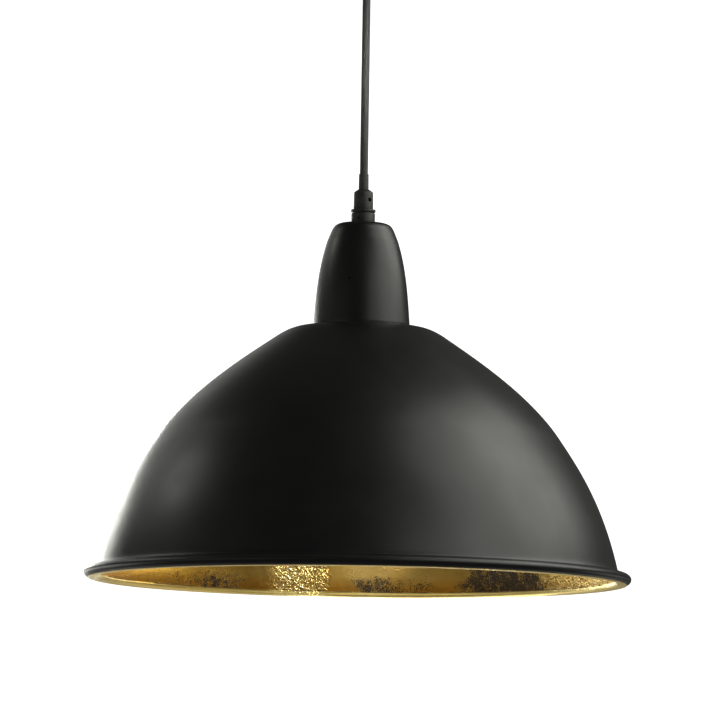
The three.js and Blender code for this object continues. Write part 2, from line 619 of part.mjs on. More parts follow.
piece(pendant, "lampholder_housing", holderHousing(), blackPlastic);
const skirt = tube(HOLDER_R - HOLDER_WALL, HOLDER_R, SKIRT_FOOT, SKIRT_TOP, PART_SIDES);
piece(pendant, "lampholder_skirt", skirt, blackPlastic);
const upperRingFoot = CROWN_TOP + GAP;
const lowerRingTop = CROWN_TOP - SHEET - GAP;
const upperRing = tube(CROWN_HOLE_R, UPPER_RING_R, upperRingFoot, upperRingFoot + RING_HEIGHT, PART_SIDES);
const lowerRing = tube(CROWN_HOLE_R, LOWER_RING_R, lowerRingTop - RING_HEIGHT, lowerRingTop, PART_SIDES);
piece(pendant, "shade_ring_upper", upperRing, blackPlastic);
piece(pendant, "shade_ring_lower", lowerRing, blackPlastic);
piece(pendant, "socket_insert", socketInsert(), porcelain);
piece(pendant, "socket_shell", tube(SHELL_BORE_R, SHELL_R, SHELL_FOOT, shellTop, PART_SIDES), brass);
piece(pendant, "centre_contact", centreContact(), brass);
socketScrewX.forEach((x, i) => {
  const screw = slottedScrew(M3_R, 5, SOCKET_SCREW_HEAD_R, 1.6);
  piece(pendant, `socket_screw_${i + 1}`, screw, brass).position.set(x, 0, INSERT_TOP - 4.5);
});

// Conductors from the end of the sheath to the two socket screws, and the earth wire to its plate
function lowerWire(side) {
  const start = [side * WIRES_APART, 0, CORD_END - GAP];
  const bend = [side * 2.6, 0, CORD_END - 6];
  const drop = [side * 7, 1.5, INSERT_TOP + 6.5];
  const screw = [side * SOCKET_SCREW_OFFSET, 0.5, INSERT_TOP + 3];
  return rod([start, bend, drop, screw], WIRE_R, WIRE_SIDES, 6);
}
piece(pendant, "live_wire_lower", lowerWire(1), brownInsulation);
piece(pendant, "neutral_wire_lower", lowerWire(-1), blueInsulation);
const earthStart = [0, -2.6, CORD_END - GAP];
const earthEnd = [0, (EARTH_PLATE_Y[0] + EARTH_PLATE_Y[1]) / 2, EARTH_PLATE_Z[0] - WIRE_R - 0.5];
const earthRoute = [earthStart, [0, -3.6, CORD_END - 4.5], [0, -8, earthEnd[2] - 1.1], earthEnd];
const earthPlateX = [-EARTH_PLATE_HALF_WIDTH, EARTH_PLATE_HALF_WIDTH];
const earthPlate = block(...earthPlateX, ...EARTH_PLATE_Y, ...EARTH_PLATE_Z);
piece(pendant, "earth_wire_lower", rod(earthRoute, WIRE_R, WIRE_SIDES, 6), earthInsulation);
piece(pendant, "earth_plate", earthPlate, brass);

// Lamp: an opal A60 with an E27 cap. It screws out, so its pieces clear the socket all round.
function lampCap() {
  const inner = BULB_CAP_R - BULB_CAP_WALL;
  const crimpInner = BULB_CRIMP_R - BULB_CAP_WALL;
  const shell = [[inner, BULB_CAP_FOOT], [BULB_CAP_R, BULB_CAP_FOOT], [BULB_CAP_R, BULB_CAP_TOP - 2.5]];
  const crimp = [[BULB_CRIMP_R, BULB_CAP_TOP], [crimpInner, BULB_CAP_TOP], [inner, BULB_CAP_TOP - 3]];
  return turned([...shell, ...crimp], PART_SIDES);
}

function heatSink() {
  const [rimR, rimZ] = BULB_RIM;
  const outside = bezier([SINK_NECK_R, BULB_CAP_FOOT - GAP], ...SINK_PULLS, [rimR, rimZ + GAP], 5);
  return turned([...outside, ...parallel(outside, -SINK_WALL).reverse()], PART_SIDES);
}

function diffuser() {
  const belly = bezier(BULB_RIM, ...BULB_BELLY_PULLS, [BULB_R, BULB_WIDEST], 3);
  const bottom = arc(0, BULB_WIDEST, BULB_R, BULB_WIDEST - BULB_BOTTOM, 0, -90, 5).slice(1);
  const outside = [...belly, ...bottom];
  const inside = parallel(outside, -BULB_WALL).reverse();
  inside[0] = [0, BULB_BOTTOM + BULB_WALL];
  return turned([...outside, ...inside], PART_SIDES);
}

const bulb = new THREE.Group();
pendant.add(bulb);
piece(bulb, "lamp_screw_cap", lampCap(), zincSteel);
const tipFoot = BULB_TIP - TIP_CONTACT_HEIGHT;
const insulator = cone(INSULATOR_FOOT_R, INSULATOR_TOP_R, BULB_CAP_TOP + GAP, tipFoot - GAP);
piece(bulb, "lamp_cap_insulator", insulator, blackPlastic);
piece(bulb, "lamp_tip_contact", cone(TIP_FOOT_R, TIP_R, tipFoot, BULB_TIP), zincSteel);
piece(bulb, "lamp_heat_sink", heatSink(), whitePlastic);
piece(bulb, "lamp_diffuser", diffuser(), opalDiffuser);
piece(bulb, "lamp_led_board", disc(LED_BOARD_R, ...LED_BOARD_Z, PART_SIDES), whitePlastic);
const driverX = [-DRIVER_HALF_WIDTH, DRIVER_HALF_WIDTH];
const driverY = [-DRIVER_HALF_THICK, DRIVER_HALF_THICK];
piece(bulb, "lamp_driver_board", block(...driverX, ...driverY, ...DRIVER_Z), circuitBoard);

const root = new THREE.Group();
root.add(ceiling, pendant);
export default root;
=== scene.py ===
"""Looks of the pendant ceiling light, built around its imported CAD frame. Metres, +Z up."""

import math

import bmesh
import bpy
import numpy as np
from mathutils import Matrix, Vector


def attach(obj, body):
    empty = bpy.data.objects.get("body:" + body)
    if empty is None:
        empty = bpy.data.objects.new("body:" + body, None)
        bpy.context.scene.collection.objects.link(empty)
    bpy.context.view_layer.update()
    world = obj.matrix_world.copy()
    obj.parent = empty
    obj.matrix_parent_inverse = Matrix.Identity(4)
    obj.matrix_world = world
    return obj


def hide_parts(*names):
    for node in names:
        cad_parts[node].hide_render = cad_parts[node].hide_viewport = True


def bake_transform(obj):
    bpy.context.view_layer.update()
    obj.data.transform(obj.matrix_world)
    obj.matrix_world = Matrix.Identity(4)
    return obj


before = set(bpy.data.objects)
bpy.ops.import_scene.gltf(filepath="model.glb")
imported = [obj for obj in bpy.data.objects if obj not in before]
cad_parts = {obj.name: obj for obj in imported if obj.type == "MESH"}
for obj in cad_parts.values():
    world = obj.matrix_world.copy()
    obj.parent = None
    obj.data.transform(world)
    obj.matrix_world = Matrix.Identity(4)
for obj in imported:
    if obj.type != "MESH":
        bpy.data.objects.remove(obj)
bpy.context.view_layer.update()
scene = bpy.context.scene

# The CAD's driving dimensions, in millimetres. Heights of the shade are counted from the lip's widest ring.
DROP = 571.0
CORD_R = 3.5
SHEET = 1.0
GAP = 0.3
LIP_CENTRE_R = 228.0
LIP_HALF_WIDTH = 7.0
LIP_HALF_HEIGHT = 5.0
WALL_FOOT = (223.8, 5.6)
WALL_PULL = (210.2, 66.0)
WALL_BEND = (172.7, 119.0)
WALL_BEND_SLOPE = 2.16
WALL_BEND_PULL_BELOW = 24.7
WALL_BEND_PULL_ABOVE = 46.7
CROWN_PULL = (97.4, 189.6)
CROWN_EDGE = (73.5, 206.1)
CROWN_EDGE_PULL = (57.0, 217.3)
CROWN_FLAT_PULL = (50.0, 214.4)
CROWN_FLAT = (41.0, 214.4)
CROWN_HOLE_R = 20.4
CROWN_TOP = 214.6
CAP_FOOT = (41.9, 214.9)
CAP_SIDE_PULLS = ((39.9, 242.1), (38.3, 266.1))
CAP_SHOULDER = (30.6, 290.5)
CAP_TOP = 305.8
CAP_SHOULDER_PULLS = ((26.4, 300.2), (26.1, CAP_TOP))
CAP_TOP_R = 17.0
CAP_PIN_HOLE_HEIGHT = 254.0
CAP_PIN_HOLE_ANGLE = -107  # degrees from +X, as all angles of radial holes are
LINING = 0.2  # leaf and lacquer
NIPPLE_R = 5.0
NIPPLE_BORE_R = 3.9
NIPPLE_FOOT = 256.0
NIPPLE_TOP = 322.5
NIPPLE_HOLE_R = 5.3
COLLAR_R = 10.25
COLLAR_FOOT = CAP_TOP + GAP
COLLAR_TOP = COLLAR_FOOT + 8.5
COLLAR_PIN_HEIGHT = 309.8
COLLAR_PIN_ANGLE = -110
COLLAR_PIN_START = 5.6  # of its inner end from the axis
RING_R = 10.7
RING_NECK_R = 9.6
RING_FOOT = COLLAR_TOP + GAP
RING_TOP = RING_FOOT + 3.0
BARREL_FOOT = RING_TOP + GAP
BARREL_FOOT_R = 8.5
BARREL_R = 8.25
BARREL_TOP = 335.5
BARREL_SHOULDER = BARREL_TOP - 2.3
BARREL_BORE_R = 4.7
BARREL_BORE_FOOT = 323.0
SET_SCREW_HEIGHT = 326.2
SET_SCREW_ANGLE = -49
SLEEVE_TOP = 349.3
SLEEVE_FOOT = 329.5
SLEEVE_TOP_R = 4.2
SLEEVE_FOOT_R = 4.38
SLEEVE_BORE_R = 3.7
EXIT_Z = -51.0  # the cord leaves the ceiling fitting
CORD_TOP_Z = -26.0
SLEEVE_PIVOT_Z = -235.0
SHEATH_TOP_Z = -13.0
SHEATH_END_Z = -314.0
HOLDER_R = 19.9
HOLDER_BORE_R = 17.7
HOUSING_FOOT = 226.3
HOUSING_TOP = 262.0
SKIRT_FOOT = 178.0
SKIRT_TOP = 226.0
SKIRT_PITCH = 2.5
CLAMP_RING_HEIGHT = 3.8
UPPER_RING_R = 29
LOWER_RING_R = 31
SHELL_R = 14.1
SHELL_BORE_R = 13.8
SHELL_FOOT = 191.0
SHELL_TOP = 222.7
LAMP_PITCH = 3.629
LAMP_CAP_R = 13.1
LAMP_CAP_BORE_R = 12.7
LAMP_CAP_FOOT = 190.0
LAMP_CAP_TOP = 211.5
GLOBE_R = 30
GLOBE_CENTRE = 141
CUP_R = 50
CUP_DEPTH = 43
CUP_CORNER_R = 12
BUSH_BORE_R = 3.85
BUSH_TOP_Z = -36
BUSH_SHOULDER_Z = -43.3
GRUB_SCREW_Z = -46.4
WIRE_R = 1.1
FINE = 256  # sides of a large round piece
MEDIUM = 128
SMALL = 64

# ---------------------------------------------------------------- outlines


def bezier(start, control1, control2, end, steps):
    t = np.linspace(0, 1, steps + 1)[:, None]
    p0, p1, p2, p3 = (np.array(p, float) for p in (start, control1, control2, end))
    return p0 * (1 - t) ** 3 + 3 * p1 * t * (1 - t) ** 2 + 3 * p2 * t**2 * (1 - t) + p3 * t**3


def arc(centre_r, centre_z, radius_r, radius_z, start, end, steps):
    a = np.radians(np.linspace(start, end, steps + 1))
    return np.stack([centre_r + radius_r * np.cos(a), centre_z + radius_z * np.sin(a)], 1)


def polar(point, angle, distance):
    return (point[0] + distance * math.cos(angle), point[1] + distance * math.sin(angle))


def parallel(line, distance):
    """The same line moved to the left of its direction."""
    line = np.asarray(line, float)
    along = np.gradient(line, axis=0)
    along /= np.linalg.norm(along, axis=1)[:, None]
    return line + distance * np.stack([-along[:, 1], along[:, 0]], 1)


def chain(*parts):
    """Joins lines end to end and drops points that repeat."""
    points = np.concatenate([np.atleast_2d(np.asarray(p, float)) for p in parts])
    keep = np.ones(len(points), bool)
    keep[1:] = np.linalg.norm(np.diff(points, axis=0), axis=1) > 1e-4
    return points[keep]


def rounded(outline, radius, steps=4):
    """A closed outline with its corners rounded, by a radius that is cut to fit short sides."""
    corners = np.asarray(outline, float)
    count = len(corners)
    made = []
    for i in range(count):
        before, here, after = corners[i - 1], corners[i], corners[(i + 1) % count]
        u, v = before - here, after - here
        lu, lv = np.linalg.norm(u), np.linalg.norm(v)
        cosine = float(u @ v / (lu * lv))
        if cosine < -0.94 or here[0] < 1e-6:
            made.append(here[None])
            continue
        reach = min(radius, 0.4 * lu, 0.4 * lv)
        t = np.linspace(0, 1, steps + 1)[:, None]
        a, b = here + u / lu * reach, here + v / lv * reach
        made.append(a * (1 - t) ** 2 + 2 * here * t * (1 - t) + b * t**2)
    return np.concatenate(made)


# ---------------------------------------------------------------- mesh building


def finish_mesh(name, mesh, surface, crease=35.0):
    mesh.validate()
    mesh.shade_smooth()
    mesh.set_sharp_from_angle(angle=math.radians(crease))
    mesh.materials.append(surface)
    piece = bpy.data.objects.new(name, mesh)
    scene.collection.objects.link(piece)
    return piece


def grid_mesh(name, points, surface, close_u=True, close_v=True, crease=35.0):
    """A mesh from points[u, v], in metres, closed round u and v where asked."""
    nu, nv = points.shape[:2]
    u, v = np.arange(nu if close_u else nu - 1), np.arange(nv if close_v else nv - 1)
    uu, vv = (g.ravel() for g in np.meshgrid(u, v, indexing="ij"))
    un, vn = (uu + 1) % nu, (vv + 1) % nv
    quads = np.stack([uu * nv + vv, un * nv + vv, un * nv + vn, uu * nv + vn], 1)
    mesh = bpy.data.meshes.new(name)
    mesh.from_pydata(points.reshape(-1, 3).tolist(), [], quads.tolist())
    return finish_mesh(name, mesh, surface, crease)


def turned(name, outline, surface, sides=FINE, relief=None, offset=-DROP, crease=35.0):
    """A closed outline, [radius, height] in millimetres, turned about the Z axis.
    relief(radius, height, angle) gives the radius where the piece isn't round."""
    outline = np.asarray(outline, float)
    r, z = outline[:, 0], outline[:, 1]
    if np.sum(r * np.roll(z, -1) - np.roll(r, -1) * z) < 0:
        r, z = r[::-1], z[::-1]
    angle = np.linspace(0, 2 * math.pi, sides, endpoint=False) - math.pi / 2
    radius = np.broadcast_to(r, (sides, len(r))).copy()
    height = np.broadcast_to(z, (sides, len(z)))
    turn = np.broadcast_to(angle[:, None], radius.shape)
    if relief:
        radius = relief(radius, height, turn)
    points = np.stack([radius * np.cos(turn), radius * np.sin(turn), height + offset], 2) / 1000
    piece = grid_mesh(name, points, surface, crease=crease)
    if r.min() < 1e-6:
        weld(piece)
    return piece


def weld(piece):
    bm = bmesh.new()
    bm.from_mesh(piece.data)
    bmesh.ops.remove_doubles(bm, verts=bm.verts, dist=1e-7)
    bmesh.ops.dissolve_degenerate(bm, edges=bm.edges, dist=1e-8)
    bm.to_mesh(piece.data)
    bm.free()


def smooth_path(points, steps):
    """A Catmull-Rom curve through the points."""
    p = np.asarray(points, float)
    p = np.concatenate([2 * p[:1] - p[1:2], p, 2 * p[-1:] - p[-2:-1]])
    made = []
    for i in range(1, len(p) - 2):
        t = np.linspace(0, 1, steps, endpoint=False)[:, None]
        a = 2 * p[i]
        b = p[i + 1] - p[i - 1]
        c = 2 * p[i - 1] - 5 * p[i] + 4 * p[i + 1] - p[i + 2]
        d = -p[i - 1] + 3 * p[i] - 3 * p[i + 1] + p[i + 2]
        made.append(0.5 * (a + b * t + c * t**2 + d * t**3))
    return np.concatenate([*made, p[-2:-1]])


def swept(name, path, radius, surface, sides=32, relief=None):
    """A closed round rod along a path in millimetres. relief(distance, angle) scales its radius."""
    path = np.asarray(path, float)
    along = np.gradient(path, axis=0)
    along /= np.linalg.norm(along, axis=1)[:, None]
    side = np.cross(along[0], (0.0, 1.0, 0.0))
    frames = []
    for direction in along:
        side = side - direction * (side @ direction)
        side /= np.linalg.norm(side)
        frames.append((side, np.cross(direction, side)))
    run = np.concatenate([[0], np.cumsum(np.linalg.norm(np.diff(path, axis=0), axis=1))])
    angle = np.linspace(0, 2 * math.pi, sides, endpoint=False)
    rings = []
    for i, (a, b) in enumerate(frames):
        r = radius * (relief(run[i], angle) if relief else np.ones(sides))
        rings.append(path[i] + np.outer(r * np.cos(angle), a) + np.outer(r * np.sin(angle), b))
    rings = np.stack(rings)
    # A ring just inside each rim keeps the shading of the flat ends apart from that of the side.
    ends = [rings[0] * 0 + path[0], rings[-1] * 0 + path[-1]]
    lips = [path[0] + (rings[0] - path[0]) * 0.92, path[-1] + (rings[-1] - path[-1]) * 0.92]
    points = np.stack([ends[0], lips[0], *rings, lips[1], ends[1]]) / 1000
    piece = grid_mesh(name, points.transpose(1, 0, 2), surface, close_v=False)
    weld(piece)
    return piece


def apply_modifiers(piece):
    graph = bpy.context.evaluated_depsgraph_get()
    made = bpy.data.meshes.new_from_object(piece.evaluated_get(graph))
    piece.modifiers.clear()
    piece.data = made
    return piece


def drilled(piece, angle_degrees, radius, start_r, end_r, height, offset=-DROP):
    """Drills a radial hole, with its axis at that angle from +X, into a turned piece."""
    a = math.radians(angle_degrees)
    outwards = Vector((math.cos(a), math.sin(a), 0))
    outline = [(0, start_r), (radius, start_r), (radius, end_r), (0, end_r)]
    tool = turned(piece.name + "_drill", outline, piece.data.materials[0], 32, offset=0)
    turn = Vector((0, 0, 1)).rotation_difference(outwards).to_matrix().to_4x4()
    tool.data.transform(Matrix.Translation((0, 0, (height + offset) / 1000)) @ turn)
    boolean = piece.modifiers.new("drill", "BOOLEAN")
    boolean.operation, boolean.solver, boolean.object = "DIFFERENCE", "EXACT", tool
    bpy.context.view_layer.update()
    apply_modifiers(piece)
    bpy.data.objects.remove(tool)
    piece.data.set_sharp_from_angle(angle=math.radians(35))
    return piece


def place(piece, body, slot, *nodes):
    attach(piece, body)
    if nodes:
        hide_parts(*nodes)
    return piece


# ---------------------------------------------------------------- materials


class Graph:
    """A short way to write a node material."""

    def __init__(self, name):
        self.material = bpy.data.materials.new(name)
        self.material.use_nodes = True
        self.tree = self.material.node_tree
        self.shader = self.tree.nodes["Principled BSDF"]
        self.where = self.add("ShaderNodeTexCoord").outputs["Object"]

    def add(self, kind, **properties):
        node = self.tree.nodes.new(kind)
        for key, value in properties.items():
            setattr(node, key, value)
        return node

    def wire(self, source, target):
        if hasattr(source, "is_output"):
            self.tree.links.new(source, target)
        else:
            target.default_value = source

    def set(self, **sockets):
        for key, value in sockets.items():
            self.wire(value, self.shader.inputs[key.replace("_", " ")])
        return self

    def stretched(self, scale):
        node = self.add("ShaderNodeMapping")
        self.wire(self.where, node.inputs["Vector"])
        node.inputs["Scale"].default_value = scale
        return node.outputs["Vector"]

    def bent(self, amount, scale):
        """The object's coordinates pushed about by a coloured noise."""
        shift = self.add("ShaderNodeTexNoise")
        self.wire(self.where, shift.inputs["Vector"])
        shift.inputs["Scale"].default_value = scale
        shift.inputs["Detail"].default_value = 4
        moved = self.add("ShaderNodeVectorMath", operation="MULTIPLY_ADD")
        self.wire(shift.outputs["Color"], moved.inputs[0])
        moved.inputs[1].default_value = (amount, amount, amount)
        self.wire(self.where, moved.inputs[2])
        return moved.outputs[0]

    def noise(self, scale, detail=3.0, roughness=0.5, distortion=0.0, vector=None):
        node = self.add("ShaderNodeTexNoise")
        self.wire(vector or self.where, node.inputs["Vector"])
        node.inputs["Scale"].default_value = scale
        node.inputs["Detail"].default_value = detail
        node.inputs["Roughness"].default_value = roughness
        node.inputs["Distortion"].default_value = distortion
        return node.outputs["Fac"]

    def cells(self, scale, feature="F1", vector=None):
        node = self.add("ShaderNodeTexVoronoi", feature=feature)
        self.wire(vector or self.where, node.inputs["Vector"])
        node.inputs["Scale"].default_value = scale
        return node.outputs["Distance"]

    def span(self, value, low, high, to_low=0.0, to_high=1.0):
        node = self.add("ShaderNodeMapRange", interpolation_type="SMOOTHSTEP")
        self.wire(value, node.inputs["Value"])
        for key, number in zip(("From Min", "From Max", "To Min", "To Max"), (low, high, to_low, to_high)):
            node.inputs[key].default_value = number
        return node.outputs["Result"]

    def math(self, operation, a, b):
        node = self.add("ShaderNodeMath", operation=operation)
        self.wire(a, node.inputs[0])
        self.wire(b, node.inputs[1])
        return node.outputs[0]

    def times(self, a, b):
        return self.math("MULTIPLY", a, b)

    def plus(self, a, b):
        return self.math("ADD", a, b)

    def minus(self, a, b):
        return self.math("SUBTRACT", a, b)

    def mix(self, factor, a, b):
        node = self.add("ShaderNodeMix", data_type="RGBA")
        self.wire(factor, node.inputs[0])
        self.wire(a, node.inputs[6])
        self.wire(b, node.inputs[7])
        return node.outputs[2]

    def ramp(self, value, stops):
        node = self.add("ShaderNodeValToRGB")
        self.wire(value, node.inputs["Fac"])
        elements = node.color_ramp.elements
        while len(elements) < len(stops):
            elements.new(0.5)
        for element, (position, colour) in zip(elements, stops):
            element.position = position
            element.color = (*colour, 1)[:4]
        return node.outputs["Color"]

    def bump(self, height, distance, strength=1.0, after=None):
        node = self.add("ShaderNodeBump")
        self.wire(height, node.inputs["Height"])
        node.inputs["Distance"].default_value = distance
        node.inputs["Strength"].default_value = strength
        if after:
            self.wire(after, node.inputs["Normal"])
        return node.outputs["Normal"]


def satin_paint():
    """Black powder coat: a faint orange peel, a little unevenness in gloss and sparse dust."""
    g = Graph("satin_black_paint")
    clouds = g.noise(9, 4)
    peel = g.noise(1300, 2, 0.55)
    dust = g.span(g.cells(170), 0.06, 0.03)
    dusty = g.times(dust, g.span(g.noise(60, 2), 0.55, 0.7))
    base = g.ramp(clouds, [(0.3, (0.0020, 0.0020, 0.0019)), (0.7, (0.0032, 0.0031, 0.0028))])
    g.set(Base_Color=g.mix(dusty, base, (0.05, 0.049, 0.046, 1)))
    rough = g.span(g.noise(35, 5, 0.6), 0.3, 0.7, 0.36, 0.41)
    g.set(Roughness=g.plus(rough, g.times(dusty, 0.25)))
    g.set(Normal=g.bump(peel, 0.000006), Specular_IOR_Level=0.5)
    return g.material


def black_metal():
    """Turned fittings in a matt black finish: fine lathe lines round the axis."""
    g = Graph("turned_black_metal")
    lines = g.noise(1, 2, 0.6, vector=g.stretched((30, 30, 5200)))
    base = g.ramp(g.noise(220, 4), [(0.3, (0.020, 0.020, 0.019)), (0.75, (0.034, 0.034, 0.032))])
    rubbed = g.span(g.cells(420), 0.10, 0.04)
    g.set(Base_Color=g.mix(g.times(rubbed, 0.35), base, (0.09, 0.09, 0.09, 1)), Metallic=0.25)
    g.set(Roughness=g.span(lines, 0.3, 0.7, 0.40, 0.52))
    g.set(Normal=g.bump(lines, 0.000012))
    return g.material


def sheath():
    """The cord's black outer sheath: a fine drawn grain along it, and long faint streaks of lighter and
    darker tone.
    """
    g = Graph("cord_sheath")
    drawn = g.noise(1, 3, 0.6, vector=g.stretched((2600, 2600, 90)))
    tone = g.noise(1, 4, vector=g.stretched((900, 900, 60)))
    base = g.ramp(tone, [(0.3, (0.014, 0.014, 0.014)), (0.7, (0.024, 0.024, 0.023))])
    g.set(Base_Color=base, Roughness=g.span(drawn, 0.3, 0.7, 0.42, 0.56))
    g.set(Normal=g.bump(drawn, 0.00002), Specular_IOR_Level=0.5)
    return g.material


def rubber():
    g = Graph("black_rubber")
    grain = g.noise(2200, 3, 0.6)
    base = g.ramp(g.noise(300, 3), [(0.3, (0.024, 0.024, 0.023)), (0.7, (0.036, 0.036, 0.034))])
    g.set(Base_Color=base, Roughness=g.span(grain, 0.3, 0.7, 0.55, 0.7))
    g.set(Normal=g.bump(grain, 0.00002))
    return g.material


def plastic(name, dark, light, roughness):
    """Moulded plastic: a fine spark-eroded grain and a slight mottle."""
    g = Graph(name)
    grain = g.noise(1700, 3, 0.6)
    g.set(Base_Color=g.ramp(g.noise(70, 4), [(0.25, dark), (0.75, light)]))
    g.set(Roughness=g.span(grain, 0.3, 0.7, roughness - 0.06, roughness + 0.06))
    g.set(Normal=g.bump(grain, 0.00001))
    return g.material


def ceramic():
    g = Graph("glazed_ceramic")
    waves = g.noise(120, 2)
    specks = g.span(g.cells(700), 0.10, 0.05)
    g.set(Base_Color=g.mix(g.times(specks, 0.5), (0.78, 0.75, 0.68, 1), (0.42, 0.36, 0.28, 1)))
    g.set(Roughness=g.span(waves, 0.3, 0.7, 0.14, 0.26), Coat_Weight=0.4, Coat_Roughness=0.08)
    g.set(Normal=g.bump(waves, 0.00008))
    return g.material


def metal(name, dark, light, roughness):
    """Bare metal: drawn lines, a slow change of tone and small dull spots."""
    g = Graph(name)
    lines = g.noise(1, 3, 0.6, vector=g.stretched((1600, 1600, 60)))
    spots = g.span(g.cells(330), 0.14, 0.06)
    tone = g.ramp(g.noise(45, 4), [(0.3, dark), (0.7, light)])
    shade = tuple(0.55 * c for c in dark)
    g.set(Base_Color=g.mix(g.times(spots, 0.4), tone, (*shade, 1)), Metallic=1.0)
    rough = g.span(lines, 0.3, 0.7, roughness - 0.08, roughness + 0.1)
    g.set(Roughness=g.plus(rough, g.times(spots, 0.15)))
    g.set(Normal=g.bump(lines, 0.000012))
    return g.material


def opal():
    """The lamp's opal diffuser: a soft translucent plastic with a satin skin."""
    g = Graph("opal_diffuser")
    g.set(Base_Color=g.ramp(g.noise(40, 3), [(0.3, (0.80, 0.79, 0.75)), (0.7, (0.86, 0.85, 0.82))]))
    g.set(Roughness=g.span(g.noise(900, 2), 0.3, 0.7, 0.30, 0.40))
    g.set(Subsurface_Weight=0.3, Subsurface_Scale=0.004)
    g.set(Normal=g.bump(g.noise(900, 2), 0.000006))
    return g.material


def circuit():
    g = Graph("circuit_board")
    tracks = g.span(g.cells(260, "DISTANCE_TO_EDGE"), 0.02, 0.05)
    g.set(Base_Color=g.mix(tracks, (0.07, 0.20, 0.09, 1), (0.02, 0.09, 0.035, 1)))
    g.set(Roughness=g.span(g.noise(400, 3), 0.3, 0.7, 0.3, 0.45), Normal=g.bump(tracks, 0.00003))
    return g.material


# How the laid leaf changes round the lining: degrees from the back towards +X, then how much of the dark
# ground shows through, how crumpled the leaf is, how light its tone is, and how red its gold is. The tone is
# partly the leaf's own and partly painted light: it is lowest on smooth stretches, for the dark inside they
# reflect. The red is partly a painted reflection: the orange glow of light bounced between the gold walls,
# strongest towards -X.
LEAF_ZONES = (
    (-180, 0.30, 0.45, 0.90, 0.3),
    (-128, 0.15, 0.60, 0.95, 0.1),
    (-90, 0.20, 0.30, 0.85, 0.1),
    (-72, 0.46, 0.16, 1.00, 0.7),
    (-60, 0.58, 0.06, 1.00, 1.0),
    (-44, 0.68, 0.06, 1.00, 1.0),
    (-37, 0.90, 0.10, 0.84, 0.9),
    (-30, 0.84, 0.05, 0.66, 0.4),
    (-22, 0.10, 0.03, 0.52, 0.2),
    (-19, 0.30, 0.36, 0.85, 0.1),
    (-15, 0.10, 1.00, 1.00, 0.0),
    (-8, 0.10, 1.00, 1.00, 0.0),
    (-6.6, 0.14, 0.30, 0.92, 0.3),
    (-6, 0.02, 0.02, 0.74, 0.4),
    (-1.8, 0.02, 0.02, 0.74, 0.4),
    (-1.3, 0.84, 0.12, 0.76, 0.2),
    (7, 0.84, 0.10, 0.76, 0.2),
    (10, 0.70, 0.06, 0.76, 0.3),
    (17, 0.68, 0.03, 0.74, 0.4),
    (22, 0.12, 0.03, 0.74, 0.5),
    (28, 0.97, 0.20, 0.78, 0.2),
    (45, 1.00, 0.24, 0.78, 0.0),
    (53, 0.60, 0.30, 0.95, 0.0),
    (60, 0.24, 0.55, 1.00, 0.0),
    (95, 0.24, 0.55, 1.00, 0.0),
    (130, 0.35, 0.30, 0.90, 0.2),
    (180, 0.30, 0.45, 0.90, 0.3),
)


